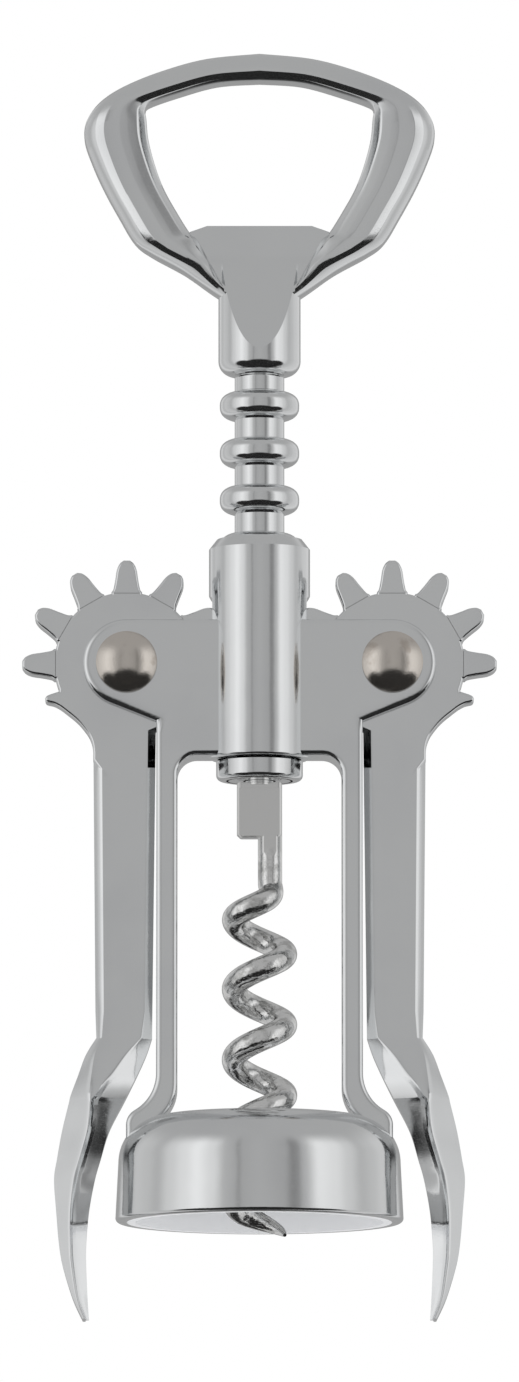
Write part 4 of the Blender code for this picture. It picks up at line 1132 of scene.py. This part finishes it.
ARM_OUTER_FALL_SHARE = 1.65
# How soon, going down, the arm's outer slope gives way to the horn's
FALL_CHANGE_POWER = 12


def horn_ring(row):
    """Section of the horn, from one row of the table."""
    drop, outer, ridge_out, ridge_in, inner, depth, floor, fall = row
    places = [HORN_REACH * across for across in (outer, ridge_out, ridge_in, inner)]
    ridge_depth = depth * HORN_HALF_DEPTH
    fall_change = (ARM_OUTER_FALL_SHARE - HORN_OUTER_FALL_SHARE) * (1 - drop)**FALL_CHANGE_POWER
    outer_fall = HORN_OUTER_FALL_SHARE + fall_change
    outer_depth = ridge_depth - outer_fall * (places[0] - places[1])
    foot_x = places[2] + SCOOP_WALL_SHARE * (places[3] - places[2])
    foot_depth = floor * HORN_HALF_DEPTH
    inner_depth = foot_depth - fall * (foot_x - places[3])
    corners = [(places[0], max(outer_depth, HORN_EDGE_HALF_DEPTH)), (places[1], ridge_depth)]
    corners += [(places[2], ridge_depth), (foot_x, foot_depth)]
    corners.append((places[3], max(inner_depth, HORN_EDGE_HALF_DEPTH)))
    return wing_ring(-HORN_START_DROP - drop * (LEVER_LENGTH - HORN_START_DROP), corners)


horn_rings = [horn_ring(row) for row in smooth_through(HORN_SHAPE_SHARES, HORN_STEPS)]
print(f"The horn has {len(horn_rings)} sections")

# %% [markdown]
# The left wing is the right one's mirror image. Scaling a mesh by minus one turns it inside out, so
# its faces are flipped back. The joined flats are brought to one depth, because a polished plate
# would show a step of a few thousandths of a millimetre as a line.

# %% Join both wings
FLAT_REACH = 3 * FACE_STEP
WING_SHARP_ANGLE = math.radians(24)


def make_wing(side, sign):
    """The wing of one side, made as the right one about its pivot and then put in its place."""
    sector_half_depth = LEVER_THICKNESS / 2 - FACE_STEP
    wing = rounded_plate(f"{side}_wing", sector_outline(), sector_half_depth, LEVER_EDGE_ROUND)
    teeth = grown(f"{side}_teeth", teeth_board, {
        "Tooth": tooth, "Teeth": FULL_TEETH, "Step angle": math.tau / GEAR_TEETH_PER_TURN,
        "Finish": chrome})
    combine(wing, teeth, "UNION")
    combine(wing, skinned(f"{side}_arm", arm_rings + horn_rings), "UNION")
    hole = plug(f"{side}_wing_hole", RIVET_HOLE_RADIUS, -LEVER_THICKNESS, LEVER_THICKNESS, HOLE_STEPS, "Y")
    combine(wing, hole, "DIFFERENCE")
    for vertex in wing.data.vertices:
        if abs(abs(vertex.co.y) - LEVER_THICKNESS / 2) < FLAT_REACH:
            vertex.co.y = math.copysign(LEVER_THICKNESS / 2, vertex.co.y)
    if sign < 0:
        wing.data.transform(Matrix.Scale(-1.0, 4, Vector((1.0, 0.0, 0.0))))
        wing.data.flip_normals()
    moved(wing, sign * PIVOT_X, PIVOT_Z)
    return finish_piece(wing, chrome, f"{side}_lever", f"{side}_lever", WING_SHARP_ANGLE)


for side, sign in SIDES:
    make_wing(side, sign)
bpy.data.objects.remove(tooth, do_unlink=True)

# %% [markdown]
# ## The rivets
# Each wing turns on a dome-headed rivet through both ears. The dome is an arc, so it is turned
# like the collar, but its axis lies front to back.

# %% Turn the rivets
RIVET_HEAD_RADIUS = 0.0043
RIVET_HEAD_HEIGHT = 0.0021
RIVET_EDGE_HEIGHT = 0.0004
RIVET_TURN_STEPS = 72


def rivet_profile():
    """A domed head, the shank, and the same head at the back."""
    seat = FRAME_THICKNESS / 2 + SEAT_GAP
    rise = RIVET_HEAD_HEIGHT - RIVET_EDGE_HEIGHT
    dome_radius = (RIVET_HEAD_RADIUS**2 + rise**2) / (2 * rise)
    centre = (0.0, seat + RIVET_HEAD_HEIGHT - dome_radius)
    edge_angle = math.acos(RIVET_HEAD_RADIUS / dome_radius)
    dome = arc_points(centre, dome_radius, math.radians(90), edge_angle, 2 * ARC_STEPS)
    dome[0] = (0.0, seat + RIVET_HEAD_HEIGHT)
    upper = dome + [(RIVET_HEAD_RADIUS, seat), (RIVET_SHANK_RADIUS, seat)]
    return upper + [(radius, -height) for radius, height in reversed(upper)]


for side, sign in SIDES:
    rivet = turned(f"{side}_rivet_turned", rivet_profile(), RIVET_TURN_STEPS, "Y")
    moved(rivet, sign * PIVOT_X, PIVOT_Z)
    finish_piece(rivet, nickel, "frame", f"{side}_rivet")

# %% [markdown]
# ## The handle
# The handle is a crown-cap opener: a ring whose hole has a flat tongue, on two arms that meet at a
# round stem. The ring is a loft that goes all the way round. Its section is soft at the outer
# edge, flat in the middle, and falls away to the hole past a crease. The tongue's plate and
# the stem join it, and a wedge cut sinks the sloping panel between them.

# %% The ring's way round
HANDLE_HEIGHT = 0.0460
RING_HALF_WIDTH = 0.0248
RING_HALF_DEPTH = 0.0041
RING_STEPS = 6
# Outer edge across and up, inner edge across and up, and depth, from the top round to the stem
RING_SHAPE_SHARES = (
    (0.000, 1.000, 0.000, 0.913, 0.88),
    (0.300, 0.984, 0.240, 0.904, 0.88),
    (0.552, 0.947, 0.470, 0.869, 0.88),
    (0.766, 0.900, 0.620, 0.840, 0.90),
    (0.907, 0.850, 0.650, 0.823, 0.94),
    (0.985, 0.792, 0.645, 0.794, 0.98),
    (0.997, 0.730, 0.633, 0.730, 1.00),
    (0.950, 0.653, 0.597, 0.654, 1.00),
    (0.883, 0.573, 0.548, 0.582, 1.00),
    (0.798, 0.489, 0.480, 0.514, 1.00),
    (0.710, 0.411, 0.395, 0.440, 1.00),
    (0.610, 0.370, 0.347, 0.417, 1.00),
    (0.423, 0.314, 0.278, 0.346, 0.98),
    (0.235, 0.243, 0.180, 0.268, 0.90),
    (0.000, 0.166, 0.000, 0.243, 0.70),
)
ARM_BEND_ROW = 11

right_rows = smooth_through(RING_SHAPE_SHARES, RING_STEPS)
left_rows = [(-outer_x, outer_z, -inner_x, inner_z, depth)
             for outer_x, outer_z, inner_x, inner_z, depth in right_rows]
around_rows = right_rows + left_rows[-2:0:-1]
print(f"{len(around_rows)} rows round the ring")

# %% The ring's section
# The rounding along the outer edge keeps its width where the ring is narrow
RING_EDGE_SHARE = 0.325
RING_EDGE_REACH = 0.0069
RING_MOST_STRETCH = 1.8
# Place across from the outer edge to the inner one, and half depth
RING_SECTION_SHARES = (
    (0.000, 0.20), (0.012, 0.42), (0.045, 0.57), (0.095, 0.70), (0.140, 0.785), (0.175, 0.845),
    (0.190, 0.868), (0.310, 0.976), (0.325, 0.985), (0.440, 1.00), (0.550, 1.00), (0.580, 0.993),
    (0.680, 0.952), (0.710, 0.938), (0.800, 0.895), (0.840, 0.872), (0.870, 0.835), (0.910, 0.75),
    (0.965, 0.61), (0.992, 0.46), (1.000, 0.28),
)


def ring_section(row):
    """One slice of the opener ring."""
    outer_x, outer_z, inner_x, inner_z, depth = row
    outer = Vector((outer_x * RING_HALF_WIDTH, 0.0, outer_z * HANDLE_HEIGHT))
    inner = Vector((inner_x * RING_HALF_WIDTH, 0.0, inner_z * HANDLE_HEIGHT))
    stretch = max(1.0, min(RING_EDGE_REACH / (inner - outer).length, RING_MOST_STRETCH))
    front = []
    for across, height in RING_SECTION_SHARES:
        if across <= RING_EDGE_SHARE:
            across *= stretch
        else:
            across = 1 - (1 - across) * (1 - RING_EDGE_SHARE * stretch) / (1 - RING_EDGE_SHARE)
        spot = outer.lerp(inner, across)
        front.append((spot.x, -height * depth * RING_HALF_DEPTH, spot.z))
    return front_and_back(front)


handle = skinned("opener_handle", [ring_section(row) for row in around_rows], closed_round=True)
print(f"{handle.name}: {len(around_rows)} sections of {2 * len(RING_SECTION_SHARES)} points")

# %% Stem and sunk panel
STEM_RADIUS = 0.0058
STEM_END_ROUND = 0.0021
TONGUE_HALF_DEPTH = 0.0020
TONGUE_RISE = 0.0212
PANEL_SLOPE = math.radians(15.7)
PANEL_START_RISE = 0.0033
PANEL_THROAT_HALF_WIDTH = 0.0050
PANEL_THROAT_RISE = 0.0120
WELD_OVERLAP = 0.0008
STEM_TURN_STEPS = 96

PANEL_LEVEL_RISE = PANEL_START_RISE + (STEM_RADIUS - TONGUE_HALF_DEPTH) / math.tan(PANEL_SLOPE)


def stem_profile():
    """The round stem from under the sunk panel down to its rounded end."""
    end = (STEM_RADIUS - STEM_END_ROUND, STEM_END_ROUND)
    stem_top_z = PANEL_LEVEL_RISE + WELD_OVERLAP
    profile = [(0.0, stem_top_z), (STEM_RADIUS, stem_top_z)]
    profile += arc_points(end, STEM_END_ROUND, 0.0, math.radians(-90), 2 * ARC_STEPS)
    profile.append((0.0, 0.0))
    return profile


def arm_point(row, across):
    """Point of a V arm in the XZ plane, between its outer edge at 0 and its inner edge at 1."""
    outer_x, outer_z, inner_x, inner_z = row[:4]
    x = outer_x + (inner_x - outer_x) * across
    z = outer_z + (inner_z - outer_z) * across
    return x * RING_HALF_WIDTH, z * HANDLE_HEIGHT


def panel_cutter(sign):
    """What is cut away over the sloping panel that runs from the stem up onto the tongue."""
    corner = arm_point(RING_SHAPE_SHARES[ARM_BEND_ROW], 1.0)
    half_front = [(corner[0], TONGUE_RISE + CUT_OVERRUN), corner]
    half_front += [(PANEL_THROAT_HALF_WIDTH, PANEL_THROAT_RISE), (PANEL_THROAT_HALF_WIDTH, 0.0)]
    far = 2 * STEM_RADIUS
    top_z = TONGUE_RISE + 2 * CUT_OVERRUN
    cutter = skinned("panel", [[(x, y, z) for x, z in with_mirror(half_front)] for y in (-far, far)])
    side_view = [(STEM_RADIUS, PANEL_START_RISE), (TONGUE_HALF_DEPTH, PANEL_LEVEL_RISE)]
    side_view += [(TONGUE_HALF_DEPTH, top_z), (far, top_z), (far, PANEL_START_RISE)]
    return combine(cutter, side_block("wedge", side_view, 2 * corner[0], sign), "INTERSECT")


print(f"The panel is level with the tongue {PANEL_LEVEL_RISE:.4f} above the stem's end")

# %% Tongue, and the handle joined
TONGUE_TOP_HALF_WIDTH = 0.0074
TONGUE_CORNER_HALF_WIDTH = 0.0098
TONGUE_CORNER_DROP = 0.00085
TONGUE_EDGE_ROUND = 0.0003
ARM_MIDDLE_SHARE = 0.5
HANDLE_SHARP_ANGLE = math.radians(14)

tongue_corner_z = TONGUE_RISE - TONGUE_CORNER_DROP
half_tongue = [(TONGUE_TOP_HALF_WIDTH, TONGUE_RISE), (TONGUE_CORNER_HALF_WIDTH, tongue_corner_z)]
half_tongue += [arm_point(row, ARM_MIDDLE_SHARE) for row in RING_SHAPE_SHARES[ARM_BEND_ROW:]]
tongue_half_depth = TONGUE_HALF_DEPTH + TONGUE_EDGE_ROUND
tongue = rounded_plate("tongue", with_mirror(half_tongue), tongue_half_depth, TONGUE_EDGE_ROUND)
combine(handle, turned("stem", stem_profile(), STEM_TURN_STEPS), "UNION")
combine(handle, tongue, "UNION")
for sign in (-1, 1):
    combine(handle, panel_cutter(sign), "DIFFERENCE")
socket_radius = SPINDLE_STUB_RADIUS + SEAT_GAP
socket = plug("stem_socket", socket_radius, -CUT_OVERRUN, SPINDLE_STUB_LENGTH, HOLE_STEPS)
combine(handle, socket, "DIFFERENCE")
moved(handle, 0.0, STEM_END_Z)
finish_piece(handle, chrome, "spindle", "handle", HANDLE_SHARP_ANGLE)

# %% [markdown]
# ## The studio
# Chrome has no look of its own: it shows the room. So the room is the most important material.
# Cards and lamps could be built round the corkscrew, but a world made from directions is smoother
# and has no noise. Its levels were read off the bell and the barrel in the photograph: grey
# straight ahead, bright at the sides, grey again past them, and dark in front and below.
# The camera itself sees plain white, and there is no floor: the worm comes out under the bell when
# the wings are up, and a floor would cut it.

# %% A world made from directions
# Share of the way round, from behind the corkscrew past its left side and front, and brightness
LEVELS_ROUND_SHARES = (
    (0.000, 0.36), (0.060, 0.38), (0.100, 0.74), (0.140, 0.56), (0.172, 0.64), (0.208, 0.60),
    (0.244, 0.52), (0.283, 0.72), (0.320, 0.86), (0.355, 1.00), (0.392, 0.82), (0.425, 0.50),
    (0.443, 0.46), (0.453, 0.33), (0.462, 0.44), (0.500, 0.47), (0.556, 0.43), (0.576, 0.26),
    (0.586, 0.30), (0.602, 0.50), (0.640, 0.94),
    (0.680, 0.86), (0.717, 0.70), (0.756, 0.54), (0.792, 0.60), (0.828, 0.68), (0.864, 0.70),
    (0.900, 0.76), (0.940, 0.38), (1.000, 0.36),
)
OVERHEAD_LEVEL = 0.46
OVERHEAD_START = 0.35
OVERHEAD_FADE = 0.40

world = bpy.data.worlds.new("studio")
bpy.context.scene.world = world
world.use_nodes = True
board = Board(world.node_tree)
direction = board.node("ShaderNodeTexCoord", output=0)
east, north, up = split_three(board, direction)
azimuth = board.maths("ARCTAN2", east, 0 - north)
round_share = azimuth / math.tau + 0.5
ramp = {"stops": LEVELS_ROUND_SHARES, "blend": "EASE"}
level = board.node("ShaderNodeValToRGB", ramp, {"Fac": round_share})
overhead = ((up - OVERHEAD_START) / OVERHEAD_FADE).eased()
level = level * (1 - overhead) + OVERHEAD_LEVEL * overhead
print(f"The studio has {len(LEVELS_ROUND_SHARES)} levels round the corkscrew")

# %% [markdown]
# Under the corkscrew lie dark cards. They give chrome its black accents: under each rib, on the
# opener's crease and in the horns' scoops. They keep clear of what the flat faces mirror towards
# the camera, because those would turn black as a whole.

# %% Dark cards below
DARK_CARD_LEVEL = 0.015
# Azimuth from the front, elevation, half angle and soft edge of each card, in degrees
DARK_CARDS = ((0, -59, 43, 4), (180, -52, 20, 6), (-56, -42, 22, 4), (56, -42, 22, 4))


def card(azimuth_angle, elevation, half_angle, edge_angle):
    """A soft-edged round card, as a share, at a place on the sky."""
    level_reach = math.cos(elevation)
    aim = (math.sin(azimuth_angle) * level_reach, -math.cos(azimuth_angle) * level_reach, math.sin(elevation))
    facing = aim[0] * east + aim[1] * north + aim[2] * up
    low = math.cos(half_angle + edge_angle)
    high = math.cos(half_angle - edge_angle)
    return ((facing - low) / (high - low)).eased()


dark = 0.0
for angles in DARK_CARDS:
    dark = board.maths("MAXIMUM", dark, card(*map(math.radians, angles)))
level = level * (1 - dark) + DARK_CARD_LEVEL * dark
print(f"{len(DARK_CARDS)} dark cards")

# %% What the camera sees
light_path = board.tree.nodes.new("ShaderNodeLightPath")
glossy = Flow(board, light_path.outputs["Is Glossy Ray"])
camera_ray = Flow(board, light_path.outputs["Is Camera Ray"])
strength = level * glossy * (1 - camera_ray) + (1 - glossy * (1 - camera_ray))
background = world.node_tree.nodes["Background"]
background.inputs["Color"].default_value = (1.0, 1.0, 1.0, 1.0)
board.feed(background.inputs["Strength"], strength)
print(f"{world.name}: {len(board.tree.nodes)} nodes")

# %% [markdown]
# The photograph was taken from far away with a long lens, a little below the middle of the
# corkscrew. A camera two metres off with a narrow view gives the same near-parallel lines.

# %% Soft lamp and camera
LAMP_HEIGHT = 0.9
LAMP_SIZE = 0.8
LAMP_POWER = 1.2
CAMERA_DISTANCE = 2.0
CAMERA_ELEVATION = math.radians(-7)
VIEW_HEIGHT = 0.19465
AIM_HEIGHT = 0.0888
SENSOR = 36.0

lamp_data = bpy.data.lights.new("soft_lamp", "AREA")
lamp_data.size = LAMP_SIZE
lamp_data.energy = LAMP_POWER
lamp = bpy.data.objects.new("soft_lamp", lamp_data)
lamp.location = (-LAMP_HEIGHT / 3, -LAMP_HEIGHT / 3, LAMP_HEIGHT)
lamp.rotation_euler = (-Vector(lamp.location)).to_track_quat("-Z", "Y").to_euler()
lamp.visible_glossy = False
bpy.context.scene.collection.objects.link(lamp)

camera_data = bpy.data.cameras.new("camera")
camera_data.sensor_fit = "AUTO"
camera_data.sensor_width = SENSOR
camera_data.lens = SENSOR * CAMERA_DISTANCE / VIEW_HEIGHT
camera_data.clip_end = 2 * CAMERA_DISTANCE
camera = bpy.data.objects.new("camera", camera_data)
look = Vector((0.0, math.cos(CAMERA_ELEVATION), -math.sin(CAMERA_ELEVATION)))
camera.location = Vector((0.0, 0.0, AIM_HEIGHT)) - CAMERA_DISTANCE * look
camera.rotation_euler = look.to_track_quat("-Z", "Y").to_euler()
bpy.context.scene.collection.objects.link(camera)
bpy.context.scene.camera = camera
bpy.context.scene.view_settings.view_transform = "Standard"
print(f"Lens of {camera_data.lens:.0f} mm, {CAMERA_DISTANCE} m away")
